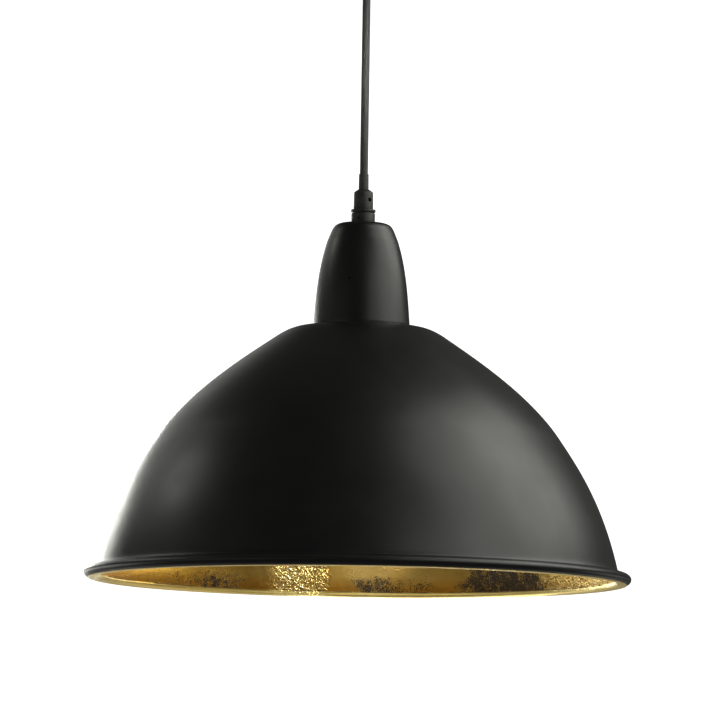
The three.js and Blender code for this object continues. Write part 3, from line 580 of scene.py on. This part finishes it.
def gold_leaf():
    """Loose leaf laid by hand: sheets with creases, fine crackle, and rubbed places where the dark ground
    shows. The zones are sharpest near the lip and wander further up the wall. Their tone and redness are
    partly painted light, and the paler leaf on the rolled lip is a painted reflection."""
    g = Graph("gold_leaf")
    axes = g.add("ShaderNodeSeparateXYZ")
    g.wire(g.where, axes.inputs[0])
    x, y, z = axes.outputs
    height = g.plus(z, DROP / 1000)
    turn = g.math("DIVIDE", g.math("ARCTAN2", x, y), 2 * math.pi)
    ragged = g.times(g.minus(g.noise(70, 5, 0.6), 0.5), 0.03)
    wander = g.times(g.minus(g.noise(7, 3), 0.5), g.span(height, 0.03, 0.16, 0.0, 0.9))
    around = g.plus(g.plus(turn, 0.5), g.plus(ragged, wander))
    zones = g.ramp(around, [(degrees / 360 + 0.5, values) for degrees, *values in LEAF_ZONES])
    split = g.add("ShaderNodeSeparateColor")
    g.wire(zones, split.inputs[0])
    worn, crumpled, tone = split.outputs
    red = zones.node.outputs["Alpha"]

    # Where the ground shows: most of all low on the wall, but where nearly all of it is worn, at any height.
    low = g.span(g.plus(height, g.times(g.noise(90, 4, 0.6), 0.016)), 0.014, 0.030, 1.0, 0.0)
    share = g.span(worn, 0.84, 0.98, 0.62, 0.08)
    reach = g.plus(g.times(low, share), g.minus(1.0, share))
    open_ground = g.times(worn, reach)
    # The leaf on the rolled lip is whole, and a dark broken line parts it from the leaf on the wall.
    on_roll = g.span(height, -0.0014, -0.0004, 1.0, 0.0)
    line = g.times(g.span(height, -0.0014, -0.0007), g.span(height, 0.0004, -0.0003))
    broken = g.times(line, g.span(g.noise(55, 3), 0.42, 0.52))
    crackle = g.plus(g.times(g.noise(880, 3, 0.7), 0.7), g.times(g.noise(160, 3), 0.3))
    edge = g.minus(0.80, g.times(open_ground, 0.42))
    sharpened = g.times(g.minus(crackle, edge), 14.0)
    limited = g.math("MINIMUM", g.math("MAXIMUM", sharpened, 0.0), 1.0)
    specks = g.times(limited, g.minus(1.0, on_roll))
    bare = g.math("MAXIMUM", specks, g.times(broken, 0.8))

    # The zone's tone, partly painted light, moves the leaf along the ramp below.
    clouds = g.plus(g.times(g.noise(30, 5, 0.6, 0.6), 0.5), g.times(tone, 0.5))
    leaf = g.ramp(
        clouds,
        [
            (0.50, (0.50, 0.320, 0.085)),
            (0.62, (0.78, 0.530, 0.150)),
            (0.75, (0.90, 0.670, 0.230)),
            (0.90, (0.96, 0.780, 0.370)),
        ],
    )
    # Painted reflection, partly: the redder gold stands for the orange glow of light bounced between the
    # gold walls.
    leaf = g.mix(g.times(red, 0.85), leaf, (0.96, 0.53, 0.055, 1))
    # Painted reflection: the leaf on the rolled lip is made paler, for the light from below that its curve
    # reflects.
    leaf = g.mix(g.times(on_roll, 0.6), leaf, (0.84, 0.68, 0.24, 1))
    g.set(Base_Color=g.mix(bare, leaf, (0.050, 0.033, 0.014, 1)))
    g.set(Metallic=g.span(bare, 0.35, 0.9, 1.0, 0.1))
    grain = g.noise(520, 3, 0.6)
    g.set(Roughness=g.plus(g.span(grain, 0.3, 0.7, 0.30, 0.44), g.times(bare, 0.3)))
    ridges = g.cells(170, "DISTANCE_TO_EDGE", vector=g.bent(0.03, 45))
    folds = g.minus(g.noise(150, 5, 0.65, 1.2), g.span(ridges, 0.0, 0.16, 0.3, 0.0))
    relief = g.times(folds, g.times(crumpled, g.minus(1.0, g.times(on_roll, 0.7))))
    fine = g.bump(g.minus(g.times(grain, 0.6), bare), 0.00010)
    g.set(Normal=g.bump(relief, 0.0030, 0.9, after=fine))
    return g.material


PAINT = satin_paint()
METAL = black_metal()
SHEATH = sheath()
RUBBER = rubber()
BLACK_PLASTIC = plastic("black_plastic", (0.012, 0.012, 0.012), (0.022, 0.022, 0.021), 0.42)
WHITE_PLASTIC = plastic("white_plastic", (0.70, 0.69, 0.66), (0.80, 0.79, 0.76), 0.45)
CERAMIC = ceramic()
STEEL = metal("zinc_steel", (0.52, 0.54, 0.56), (0.70, 0.71, 0.72), 0.34)
BRASS = metal("brass", (0.60, 0.40, 0.14), (0.78, 0.57, 0.25), 0.30)
OPAL = opal()
BOARD = circuit()
BROWN = plastic("brown_insulation", (0.12, 0.045, 0.018), (0.17, 0.065, 0.028), 0.4)
BLUE = plastic("blue_insulation", (0.018, 0.09, 0.34), (0.03, 0.13, 0.44), 0.4)
EARTH = plastic("earth_insulation", (0.25, 0.42, 0.03), (0.60, 0.58, 0.05), 0.4)
GOLD = gold_leaf()

# ---------------------------------------------------------------- camera

CAMERA_DISTANCE = 4.0
CAMERA_DROP = 0.243  # below the lip's plane
CAMERA_SIDE = -0.0008
AIM_HEIGHT = 0.1872  # of the picture's centre above the lip's plane
ROLL = 0.905  # degrees: the shade leans a little, and the camera carries its lean
LENS = 233
SENSOR_WIDTH = 36
CLIP_START = 0.05
CLIP_END = 200

lip_z = -DROP / 1000
camera = bpy.data.objects.new("camera", bpy.data.cameras.new("camera"))
scene.collection.objects.link(camera)
camera.location = (CAMERA_SIDE, -CAMERA_DISTANCE, lip_z - CAMERA_DROP)
aim = Vector((CAMERA_SIDE, 0, lip_z + AIM_HEIGHT))
turn = (aim - camera.location).to_track_quat("-Z", "Y").to_matrix()
rolled = turn @ Matrix.Rotation(math.radians(ROLL), 3, "Z")
camera.matrix_world = Matrix.Translation(camera.location) @ rolled.to_4x4()
camera.data.lens = LENS
camera.data.sensor_width = SENSOR_WIDTH
camera.data.clip_start, camera.data.clip_end = CLIP_START, CLIP_END
scene.camera = camera

# ---------------------------------------------------------------- cord

CORD_SIDES = 48
CORE_LAY = 95  # length of one turn of the twisted cores


def core_ripple(distance, angle):
    """The three twisted cores barely show through the sheath."""
    return 1 + 0.008 * np.cos(3 * (angle + 2 * math.pi * distance / CORE_LAY))


cord_path = np.array([(0, 0, z) for z in np.linspace(CORD_TOP_Z, SLEEVE_PIVOT_Z, 40)])
flex = swept("cord_flex", cord_path, CORD_R, SHEATH, CORD_SIDES, core_ripple)
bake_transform(flex)
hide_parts("cord")


def held_cord(name, top, bottom, rows, body, node):
    path = [(0, 0, z) for z in np.linspace(top, bottom, rows)]
    piece = swept(name, path, CORD_R, SHEATH, CORD_SIDES)
    place(piece, body, "cord_sheath", node)


held_cord("cord_held_in_cup", SHEATH_TOP_Z, CORD_TOP_Z + 0.1, 8, "ceiling_fitting", "cord_in_cup")
# Its top keeps clear of the free cord where that bends.
held_cord("cord_held_in_grip", SLEEVE_PIVOT_Z - 0.9, SHEATH_END_Z, 20, "pendant", "cord_in_grip")

# ---------------------------------------------------------------- shade, lining and holder cap


def wall_line(steps=1.0):
    """The outside of the shade's wall, from its foot to the flat crown."""
    below = polar(WALL_BEND, WALL_BEND_SLOPE, -WALL_BEND_PULL_BELOW)
    above = polar(WALL_BEND, WALL_BEND_SLOPE, WALL_BEND_PULL_ABOVE)
    steep = bezier(WALL_FOOT, WALL_PULL, below, WALL_BEND, int(52 * steps))
    crown = bezier(WALL_BEND, above, CROWN_PULL, CROWN_EDGE, int(56 * steps))
    flat = bezier(CROWN_EDGE, CROWN_EDGE_PULL, CROWN_FLAT_PULL, CROWN_FLAT, int(24 * steps))
    return chain(steep, crown, flat)


SHADE_SIDES = 360

wall = wall_line()
lip = arc(LIP_CENTRE_R, 0, LIP_HALF_WIDTH, LIP_HALF_HEIGHT, -172, 113, 60)
fillet_start = (lip[-1][0] - 0.5, lip[-1][1] + 0.25)
fillet_end = (WALL_FOOT[0] + 0.15, WALL_FOOT[1] - 0.5)
crease_fillet = bezier(lip[-1], fillet_start, fillet_end, wall[1], 5)
crown_top = [(CROWN_HOLE_R, CROWN_TOP), (CROWN_HOLE_R, CROWN_TOP - SHEET)]
inside = parallel(wall, SHEET)[::-1]
shade_outline = chain(lip, crease_fillet[1:-1], wall[1:], crown_top, inside)
shade = turned("shade_spun", shade_outline, PAINT, SHADE_SIDES)
place(shade, "pendant", "black_paint", "shade")

lining_wall = parallel(wall_line(1.6), SHEET + GAP)
under_lip = arc(LIP_CENTRE_R, 0, LIP_HALF_WIDTH + 0.15, LIP_HALF_HEIGHT + 0.15, -64, -170, 22)
foot_run = bezier(under_lip[-1], (220.9, 0.6), (222.0, 2.5), lining_wall[3], 6)
leaf_outer = chain(under_lip, foot_run[1:-1], lining_wall[3:])
leaf_inner = parallel(leaf_outer, LINING)[::-1]


def leaf_relief(radius, height, angle):
    """Long shallow creases in the laid leaf, up to 0.13 mm deep. Both its faces follow them."""
    wave = (
        np.sin(7.0 * angle + 0.11 * height)
        + 0.7 * np.sin(23.0 * angle - 0.23 * height + 1.3)
        + 0.5 * np.sin(61.0 * angle + 0.41 * height + 0.6 * np.sin(9 * angle))
    )
    return radius - 0.03 * (wave + 2.2)


lining = turned("leaf_lining", chain(leaf_outer, leaf_inner), GOLD, SHADE_SIDES, leaf_relief)
place(lining, "pendant", "gold_leaf", "gold_leaf_lining")

cap_side = bezier(CAP_FOOT, *CAP_SIDE_PULLS, CAP_SHOULDER, 48)
cap_shoulder = bezier(CAP_SHOULDER, *CAP_SHOULDER_PULLS, (CAP_TOP_R, CAP_TOP), 20)
cap_outside = chain(cap_side, cap_shoulder)
cap_top = [(5.6, CAP_TOP), (NIPPLE_HOLE_R, CAP_TOP - 0.3), (NIPPLE_HOLE_R, CAP_TOP - SHEET)]
cap_inside = parallel(cap_outside, SHEET)[::-1]
cap_hem = arc(CAP_FOOT[0] - SHEET / 2, CAP_FOOT[1] + 0.3, SHEET / 2, 0.3, -180, 0, 6)
cap = turned("holder_cap_spun", chain(cap_outside[2:], cap_top, cap_inside[:-2], cap_hem), PAINT, FINE)
drilled(cap, CAP_PIN_HOLE_ANGLE, 0.75, 30, 45, CAP_PIN_HOLE_HEIGHT)
place(cap, "pendant", "black_paint", "holder_cap")

# ---------------------------------------------------------------- cord grip


def band(inner, outer, foot, top):
    """The outline of a plain ring."""
    return [(inner, foot), (outer, foot), (outer, top), (inner, top)]


collar_outline = rounded(band(NIPPLE_HOLE_R, COLLAR_R, COLLAR_FOOT, COLLAR_TOP), 0.35)
collar = turned("grip_collar_turned", collar_outline, METAL, MEDIUM)
drilled(collar, COLLAR_PIN_ANGLE, 1.15, 9.2, 12, COLLAR_PIN_HEIGHT)
place(collar, "pendant", "black_metal", "grip_collar")
pin_outline = [(0, 0), (0.9, 0), (0.9, 3.4), (0.6, 3.8), (0, 3.8)]
pin = turned("collar_pin_turned", rounded(pin_outline, 0.15), METAL, 32, offset=0)
pin_angle = math.radians(COLLAR_PIN_ANGLE)
pin_axis = Vector((math.cos(pin_angle), math.sin(pin_angle), 0))
pin_turn = Vector((0, 0, 1)).rotation_difference(pin_axis)
pin_start = pin_axis * (COLLAR_PIN_START / 1000) + Vector((0, 0, (COLLAR_PIN_HEIGHT - DROP) / 1000))
pin.data.transform(Matrix.Translation(pin_start) @ pin_turn.to_matrix().to_4x4())
place(pin, "pendant", "black_metal", "collar_pin")

ring_neck = [(NIPPLE_HOLE_R, RING_FOOT), (RING_NECK_R, RING_FOOT), (RING_NECK_R, RING_FOOT + 0.8)]
ring_rim = [(RING_R, RING_FOOT + 1.0), (RING_R, RING_TOP), (NIPPLE_HOLE_R, RING_TOP)]
lock_ring = turned("lock_ring_turned", rounded(ring_neck + ring_rim, 0.35), METAL, MEDIUM)
place(lock_ring, "pendant", "black_metal", "grip_lock_ring")

barrel_side = [(NIPPLE_HOLE_R, BARREL_FOOT), (BARREL_FOOT_R, BARREL_FOOT), (BARREL_R, BARREL_SHOULDER)]
barrel_top = [(BARREL_BORE_R + 0.5, BARREL_TOP), (BARREL_BORE_R, BARREL_TOP)]
barrel_bore = [(BARREL_BORE_R, BARREL_BORE_FOOT), (NIPPLE_HOLE_R, BARREL_BORE_FOOT)]
barrel_outline = rounded(barrel_side + barrel_top + barrel_bore, 0.4)
barrel = turned("barrel_turned", barrel_outline, METAL, MEDIUM)
drilled(barrel, SET_SCREW_ANGLE, 1.9, 4.0, 10, SET_SCREW_HEIGHT)
place(barrel, "pendant", "black_metal", "cord_grip_barrel")

sleeve_foot = [
    (SLEEVE_BORE_R, SLEEVE_FOOT + 0.1),
    (3.8, SLEEVE_FOOT),
    (4.28, SLEEVE_FOOT),
    (SLEEVE_FOOT_R, SLEEVE_FOOT + 0.2),
]
long_side = np.linspace((SLEEVE_FOOT_R, 334.0), (SLEEVE_TOP_R, SLEEVE_TOP - 0.7), 14)
sleeve_top = [
    (4.15, SLEEVE_TOP - 0.2),
    (4.0, SLEEVE_TOP),
    (3.78, SLEEVE_TOP),
    (SLEEVE_BORE_R, SLEEVE_TOP - 0.2),
]
bore_side = np.linspace((SLEEVE_BORE_R, SLEEVE_TOP - 1.7), (SLEEVE_BORE_R, 331.0), 14)
sleeve_outline = chain(sleeve_foot, long_side, sleeve_top, bore_side)
sleeve = turned("sleeve_moulded", sleeve_outline, RUBBER, SMALL)
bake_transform(sleeve)
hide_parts("strain_relief_sleeve")

# ---------------------------------------------------------------- threads


def thread(pitch, depth, low, high, fade=1.5):
    """A helical thread between two heights, for turned(relief=...). All walls follow it."""

    def relief(radius, height, angle):
        wave = 0.5 + 0.5 * np.cos(2 * math.pi * height / pitch - angle)
        near = np.clip((height - low) / fade, 0, 1) * np.clip((high - height) / fade, 0, 1)
        return radius - depth * (1 - wave) * near

    return relief


def tube_rows(inner, outer, foot, top, rows, edge=0.25):
    """A tube's outline with enough rows along its walls to carry a thread."""
    foot_rim = [(inner + edge, foot), (outer - edge, foot)]
    up = np.linspace((outer, foot + edge), (outer, top - edge), rows)
    top_rim = [(outer - edge, top), (inner + edge, top)]
    down = np.linspace((inner, top - edge), (inner, foot + edge), rows)
    return chain(foot_rim, up, top_rim, down)


def outer_thread(pitch, depth, wall_r, low, high):
    """The same on the outer wall only, the one beyond wall_r."""
    helix = thread(pitch, depth, low, high)

    def relief(radius, height, angle):
        return np.where(radius > wall_r, helix(radius, height, angle), radius)

    return relief


nipple_rows = tube_rows(NIPPLE_BORE_R, NIPPLE_R, NIPPLE_FOOT, NIPPLE_TOP, 260)
nipple_thread = outer_thread(1.0, 0.35, NIPPLE_R - 0.1, NIPPLE_FOOT + 0.5, NIPPLE_TOP - 0.5)
nipple = turned("threaded_tube_cut", nipple_rows, STEEL, SMALL, nipple_thread)
place(nipple, "pendant", "zinc_steel", "threaded_tube")
washer_top = CAP_TOP - SHEET - GAP
washer_outline = rounded(band(NIPPLE_HOLE_R, 9, washer_top - 1, washer_top), 0.2)
washer = turned("cap_washer_pressed", washer_outline, STEEL, MEDIUM)
place(washer, "pendant", "zinc_steel", "cap_washer")

# ---------------------------------------------------------------- lampholder

housing_outline = chain(
    [(HOLDER_BORE_R, HOUSING_FOOT), (HOLDER_R, HOUSING_FOOT), (18.9, 254)],
    arc(12.9, HOUSING_TOP - 6, 6, 6, 0, 90, 16),
    [(NIPPLE_HOLE_R, HOUSING_TOP), (NIPPLE_HOLE_R, HOUSING_TOP - 2.2), (11.5, 259.8), (16.7, 253.8)],
)
housing = turned("lampholder_housing_moulded", rounded(housing_outline, 0.4), BLACK_PLASTIC, MEDIUM)
place(housing, "pendant", "black_plastic", "lampholder_housing")

skirt_rows = tube_rows(HOLDER_BORE_R, HOLDER_R, SKIRT_FOOT, SKIRT_TOP, 120, 0.5)
skirt_thread = outer_thread(SKIRT_PITCH, 0.7, HOLDER_R - 0.4, 196, 225)
skirt = turned("lampholder_skirt_moulded", skirt_rows, BLACK_PLASTIC, MEDIUM, skirt_thread)
place(skirt, "pendant", "black_plastic", "lampholder_skirt")


def ribs(count, depth, wall_r):
    """Finger ribs round a ring's rim."""

    def relief(radius, height, angle):
        rib = np.clip(0.5 + 1.4 * np.cos(count * angle), 0, 1)
        return np.where(radius > wall_r, radius - depth * rib, radius)

    return relief


def clamp_ring(name, node, radius, foot, edge):
    outline = band(CROWN_HOLE_R, radius, foot, foot + CLAMP_RING_HEIGHT)
    ring = turned(name, rounded(outline, edge), BLACK_PLASTIC, 360, ribs(36, 0.8, radius - 1))
    place(ring, "pendant", "black_plastic", node)


lower_ring_foot = CROWN_TOP - SHEET - GAP - CLAMP_RING_HEIGHT
clamp_ring("shade_ring_upper_moulded", "shade_ring_upper", UPPER_RING_R, CROWN_TOP + GAP, 0.5)
clamp_ring("shade_ring_lower_moulded", "shade_ring_lower", LOWER_RING_R, lower_ring_foot, 0.6)

# The lamp's thread is rolled into two thin shells, the socket's and the lamp's own.
shell_rows = tube_rows(SHELL_BORE_R, SHELL_R, SHELL_FOOT, SHELL_TOP, 90, 0.1)
shell_thread = thread(LAMP_PITCH, 0.3, 192, 221, fade=2)
shell = turned("socket_shell_rolled", shell_rows, BRASS, MEDIUM, shell_thread)
place(shell, "pendant", "brass_parts", "socket_shell")

# ---------------------------------------------------------------- lamp

cap_rows = tube_rows(LAMP_CAP_BORE_R, LAMP_CAP_R, LAMP_CAP_FOOT, LAMP_CAP_TOP, 70, 0.1)
middle_of_wall = (LAMP_CAP_BORE_R + LAMP_CAP_R) / 2
up_wall = [p for p in cap_rows if p[0] > middle_of_wall]
low_wall = [p for p in cap_rows if p[0] <= middle_of_wall]
crimp_bend = bezier((11.8, 212.7), (10.8, 213.4), (9.8, 213.8), (9, 214), 6)
crimp = chain([(12.3, 212.2)], crimp_bend, [(8.5, 214), (8.5, 213.6), (12.2, 211.4)])
cap_thread = thread(LAMP_PITCH, 0.5, 191, 212, fade=2)
screw_cap = turned("lamp_cap_rolled", chain(up_wall, crimp, low_wall), STEEL, MEDIUM, cap_thread)
place(screw_cap, "lamp", "zinc_steel", "lamp_screw_cap")
insulator_outline = rounded([(0, 214.3), (8.6, 214.3), (5.2, 217), (0, 217)], 0.4)
insulator = turned("lamp_insulator_moulded", insulator_outline, BLACK_PLASTIC, SMALL)
place(insulator, "lamp", "black_plastic", "lamp_cap_insulator")
tip_outline = chain([(0, 217.3), (4.6, 217.3)], arc(0, 217.9, 4.4, 1.1, 0, 88, 12), [(0, 219)])
tip = turned("lamp_tip_solder", tip_outline, STEEL, SMALL)
place(tip, "lamp_tip", "zinc_steel", "lamp_tip_contact")


def sink_line(steps):
    """The outside of the lamp's heat sink, from the screw cap down to the globe."""
    return bezier((12.9, 189.7), (14.2, 183), (20.5, 172), (24, 163.3), steps)


sink_inside = parallel(sink_line(28), -1.2)[::-1]
sink_outline = rounded(chain(sink_line(28), sink_inside), 0.2)
sink = turned("lamp_body_moulded", sink_outline, WHITE_PLASTIC, MEDIUM)
place(sink, "lamp", "white_plastic", "lamp_heat_sink")
globe_neck = bezier((24, 163), (27.5, 155.5), (GLOBE_R, 149.5), (GLOBE_R, GLOBE_CENTRE), 16)
globe = chain(globe_neck, arc(0, GLOBE_CENTRE, GLOBE_R, GLOBE_R, 0, -90, 32))
globe_inside = parallel(globe, -1)[::-1]
globe_inside[0] = (0, GLOBE_CENTRE - GLOBE_R + 1)
diffuser = turned("lamp_diffuser_blown", chain(globe, globe_inside), OPAL, MEDIUM)
place(diffuser, "lamp", "opal_plastic", "lamp_diffuser")

# ---------------------------------------------------------------- ceiling cup and bush

corner = (CUP_R - CUP_CORNER_R, -CUP_DEPTH + CUP_CORNER_R)
inner_corner_r = CUP_CORNER_R - 1
cup_outline = chain(
    arc(*corner, CUP_CORNER_R, CUP_CORNER_R, 0, -90, 24),
    [(8.6, -CUP_DEPTH), (8.3, -CUP_DEPTH + 0.3), (8.3, -CUP_DEPTH + 1)],
    arc(*corner, inner_corner_r, inner_corner_r, -90, 0, 24),
    [(CUP_R - 1, -1.3), (CUP_R - 0.8, -1), (CUP_R - 0.2, -1), (CUP_R, -1.3)],
)
cup = turned("ceiling_cup_spun", cup_outline, PAINT, FINE, offset=0)
place(cup, "cup", "black_paint", "ceiling_cup")
bush_stem = [(BUSH_BORE_R, BUSH_TOP_Z), (8, BUSH_TOP_Z), (8, BUSH_SHOULDER_Z), (10, BUSH_SHOULDER_Z)]
bush_outline = [*bush_stem, (10, -46.8), (6.4, EXIT_Z), (BUSH_BORE_R, EXIT_Z)]
bush = turned("cord_bush_moulded", rounded(bush_outline, 0.7), BLACK_PLASTIC, MEDIUM, offset=0)
drilled(bush, 90, 2.2, 2, 12, GRUB_SCREW_Z, offset=0)
place(bush, "cup", "black_plastic", "cup_cord_bush")

# ---------------------------------------------------------------- conductors


def wire(name, points, surface, body, slot, node):
    piece = swept(name, smooth_path(points, 10), WIRE_R, surface, 24)
    place(piece, body, slot, node)


def upper_route(angle_degrees, pole_y):
    """From a core's place in the sheath to its pole in the terminal block."""
    a = math.radians(angle_degrees)
    x, y = 1.5 * math.cos(a), 1.5 * math.sin(a)
    out_of_sheath = [(x, y, -12.7), (x, 1.3 * y, -9.8)]
    return [*out_of_sheath, (-4.5, 0.55 * pole_y, -6.8), (-9, pole_y, -9), (-12.5, pole_y, -9)]


def below_ceiling(points):
    """Points whose heights are counted from the lip, moved to the ceiling's zero."""
    return [(x, y, z - DROP) for x, y, z in points]


def lower_route(side):
    """From a core's place at the sheath's end to its screw on the socket insert."""
    points = [(1.5, 0, 256.7), (2.6, 0, 251), (7, 1.5, 246.5), (10, 0.5, 243)]
    return below_ceiling([(side * x, y, z) for x, y, z in points])


wire("earth_upper", upper_route(180, 0), EARTH, "ceiling_fitting", "earth_wire", "earth_wire_upper")
wire("live_upper", upper_route(60, 10), BROWN, "ceiling_fitting", "brown_wire", "live_wire_upper")
wire("neutral_upper", upper_route(-60, -10), BLUE, "ceiling_fitting", "blue_wire", "neutral_wire_upper")
wire("live_lower", lower_route(1), BROWN, "pendant", "brown_wire", "live_wire_lower")
wire("neutral_lower", lower_route(-1), BLUE, "pendant", "blue_wire", "neutral_wire_lower")
earth_route = below_ceiling([(0, -2.6, 256.7), (0, -3.6, 252.5), (0, -8, 249.5), (0, -12.5, 250.6)])
wire("earth_lower", earth_route, EARTH, "pendant", "earth_wire", "earth_wire_lower")

# ---------------------------------------------------------------- CAD nodes that stay, with new surfaces

KEPT = {
    "mounting_strap": STEEL,
    "cord_clamp": WHITE_PLASTIC,
    "cord_clamp_screw_1": STEEL,
    "cord_clamp_screw_2": STEEL,
    "terminal_block": WHITE_PLASTIC,
    **{f"terminal_screw_{i}": BRASS for i in range(1, 7)},
    "cup_bush_nut": BLACK_PLASTIC,
    "cup_grub_screw": METAL,
    "cord_grip_screw": METAL,
    "cap_locknut": BRASS,
    "socket_insert": CERAMIC,
    "centre_contact": BRASS,
    "socket_screw_1": BRASS,
    "socket_screw_2": BRASS,
    "earth_plate": BRASS,
    "lamp_led_board": WHITE_PLASTIC,
    "lamp_driver_board": BOARD,
}
EDGE_BEVEL = 0.00015  # metres

for name, surface in KEPT.items():
    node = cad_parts[name]
    node.data.materials.clear()
    node.data.materials.append(surface)
    bevel = node.modifiers.new("edges", "BEVEL")
    bevel.width = EDGE_BEVEL
    bevel.segments = 2
    bevel.limit_method = "ANGLE"
    bevel.angle_limit = math.radians(40)

# ---------------------------------------------------------------- stage and light

FLOOR_Z = -4.5
FLOOR_R = 15
FLOOR_GLOW = 0.72
BACKDROP_R = 30000  # millimetres, as turned() takes them
BACKDROP_GLOW = 1.3
WORLD_GLOW = 0.07
LIGHT_TINT = (1.0, 1.0, 0.93)


def stage_material(name, colour, glow):
    material = bpy.data.materials.new(name)
    material.use_nodes = True
    shader = material.node_tree.nodes["Principled BSDF"]
    shader.inputs["Base Color"].default_value = colour
    shader.inputs["Roughness"].default_value = 0.7
    shader.inputs["Emission Color"].default_value = (1, 1, 1, 1)
    shader.inputs["Emission Strength"].default_value = glow
    return material


angles = np.linspace(0, 2 * math.pi, 128, endpoint=False)
rim = [(FLOOR_R * math.cos(a), FLOOR_R * math.sin(a), FLOOR_Z) for a in angles]
floor_mesh = bpy.data.meshes.new("floor")
floor_mesh.from_pydata(rim, [], [list(range(len(rim)))])
floor_mesh.materials.append(stage_material("pale_floor", (0.82, 0.82, 0.80, 1), FLOOR_GLOW))
floor = bpy.data.objects.new("floor", floor_mesh)
floor.visible_glossy = False  # the low softboxes stand for what it would reflect
scene.collection.objects.link(floor)

half_circle = chain(arc(0, 0, BACKDROP_R, BACKDROP_R, -90, 90, 48), [(0, BACKDROP_R)])
white = stage_material("white_backdrop", (0, 0, 0, 1), BACKDROP_GLOW)
backdrop = turned("backdrop", half_circle, white, 64, offset=0)
backdrop.visible_diffuse = False
backdrop.visible_glossy = False
backdrop.visible_transmission = False
backdrop.visible_shadow = False

world = bpy.data.worlds.new("studio")
world.use_nodes = True
sky = world.node_tree.nodes["Background"].inputs
sky["Color"].default_value = (1, 1, 1, 1)
sky["Strength"].default_value = WORLD_GLOW
scene.world = world



def aimed(data, location, direction):
    """Adds a light that shines along a direction."""
    light = bpy.data.objects.new(data.name, data)
    scene.collection.objects.link(light)
    light.location = location
    light.rotation_mode = "QUATERNION"
    light.rotation_quaternion = direction.to_track_quat("-Z", "Y")
    return light


def softbox(name, azimuth, elevation, distance, width, height, radiance, target):
    """A plain rectangular softbox. Azimuth is from the front (-Y) towards +X, in degrees."""
    a, e = math.radians(azimuth), math.radians(elevation)
    direction = Vector((math.sin(a) * math.cos(e), -math.cos(a) * math.cos(e), math.sin(e)))
    data = bpy.data.lights.new(name, "AREA")
    data.shape = "RECTANGLE"
    data.size, data.size_y = width, height
    data.energy = radiance * math.pi * width * height
    data.color = LIGHT_TINT
    light = aimed(data, target + direction * distance, -direction)
    light.visible_camera = False
    return light


def axis_point(z):
    return Vector((0, 0, z))


DOME = axis_point(lip_z + 0.12)
CRUMPLED_LEAF = Vector((-0.053, 0.214, lip_z + 0.013))

# Name, azimuth and elevation in degrees, distance, width and height in metres, radiance, and its target.
DISTANT_BOXES = (
    ("key_front", 38, 20.7, 2.4, 1.63, 0.72, 1.8, DOME),
    ("key_side", 71.4, 36.7, 2.4, 1.75, 2.94, 2.15, DOME),
    ("key_back", 105.5, 34.6, 2.4, 1.46, 1.69, 2.85, DOME),
    ("fill_left", -142, 24.6, 2.4, 2.14, 0.71, 0.6, DOME),
    ("spot_left", -106.6, 32, 2.4, 0.7, 0.45, 3.4, DOME),
    ("fill_front", -57.8, 4.6, 2.4, 2.75, 0.52, 0.55, DOME),
    ("rim_low", -155.7, 0, 1.2, 0.635, 0.225, 11, axis_point(-0.32)),
    ("rim_lip", -162, 0, 1.6, 1.3, 0.25, 3, axis_point(-0.66)),
    ("rim_high", -169, 0, 2.4, 1.72, 0.4, 0.5, axis_point(0.23)),
    ("below_back", 180, -38, 1.9, 2.0, 1.2, 0.55, axis_point(lip_z)),
    ("below_left", -122, -14, 2.4, 1.6, 0.8, 1.4, DOME),
    ("below_right", 125, -16, 2.4, 1.4, 0.6, 0.7, DOME),
)
# Small panels just under the lip, turned to the lining, so that they leave the black bead alone.
LEAF_PANELS = (
    ("leaf_back", 0, -17, 0.28, 0.44, 0.13, 0.20, Vector((0.01, 0.22, lip_z + 0.014))),
    ("leaf_left", 120, -12, 0.35, 0.18, 0.07, 2.3, Vector((-0.185, 0.11, lip_z + 0.012))),
    ("leaf_right", -150, -8, 0.35, 0.20, 0.08, 5.0, Vector((0.205, 0.07, lip_z + 0.010))),
    ("leaf_under", 0, -68, 0.25, 0.34, 0.16, 0.22, Vector((0.07, 0.235, lip_z - 0.002))),
    ("leaf_folds", 10, -70, 0.20, 0.08, 0.14, 1.0, CRUMPLED_LEAF),
)
for settings in DISTANT_BOXES + LEAF_PANELS:
    softbox(*settings)

# Panels near the cord, with a narrow spread, so that they light it and miss the shade below.
for number, azimuth in enumerate((-25, 8, 41)):
    panel = softbox(f"cord_panel_{number + 1}", azimuth, 10, 0.6, 0.34, 0.1, 0.36, axis_point(-0.13))
    panel.data.spread = math.radians(14)

# A small spot from below the left front picks out the crumpled leaf.
patch = bpy.data.lights.new("leaf_patch", "SPOT")
patch.shadow_soft_size = 0.05
patch.energy = 210
patch.spot_size = math.radians(3.6)
patch.spot_blend = 0.7
patch_place = Vector((-0.86, -0.60, lip_z - 0.95))
aimed(patch, patch_place, CRUMPLED_LEAF - patch_place)

scene.view_settings.view_transform = "Standard"
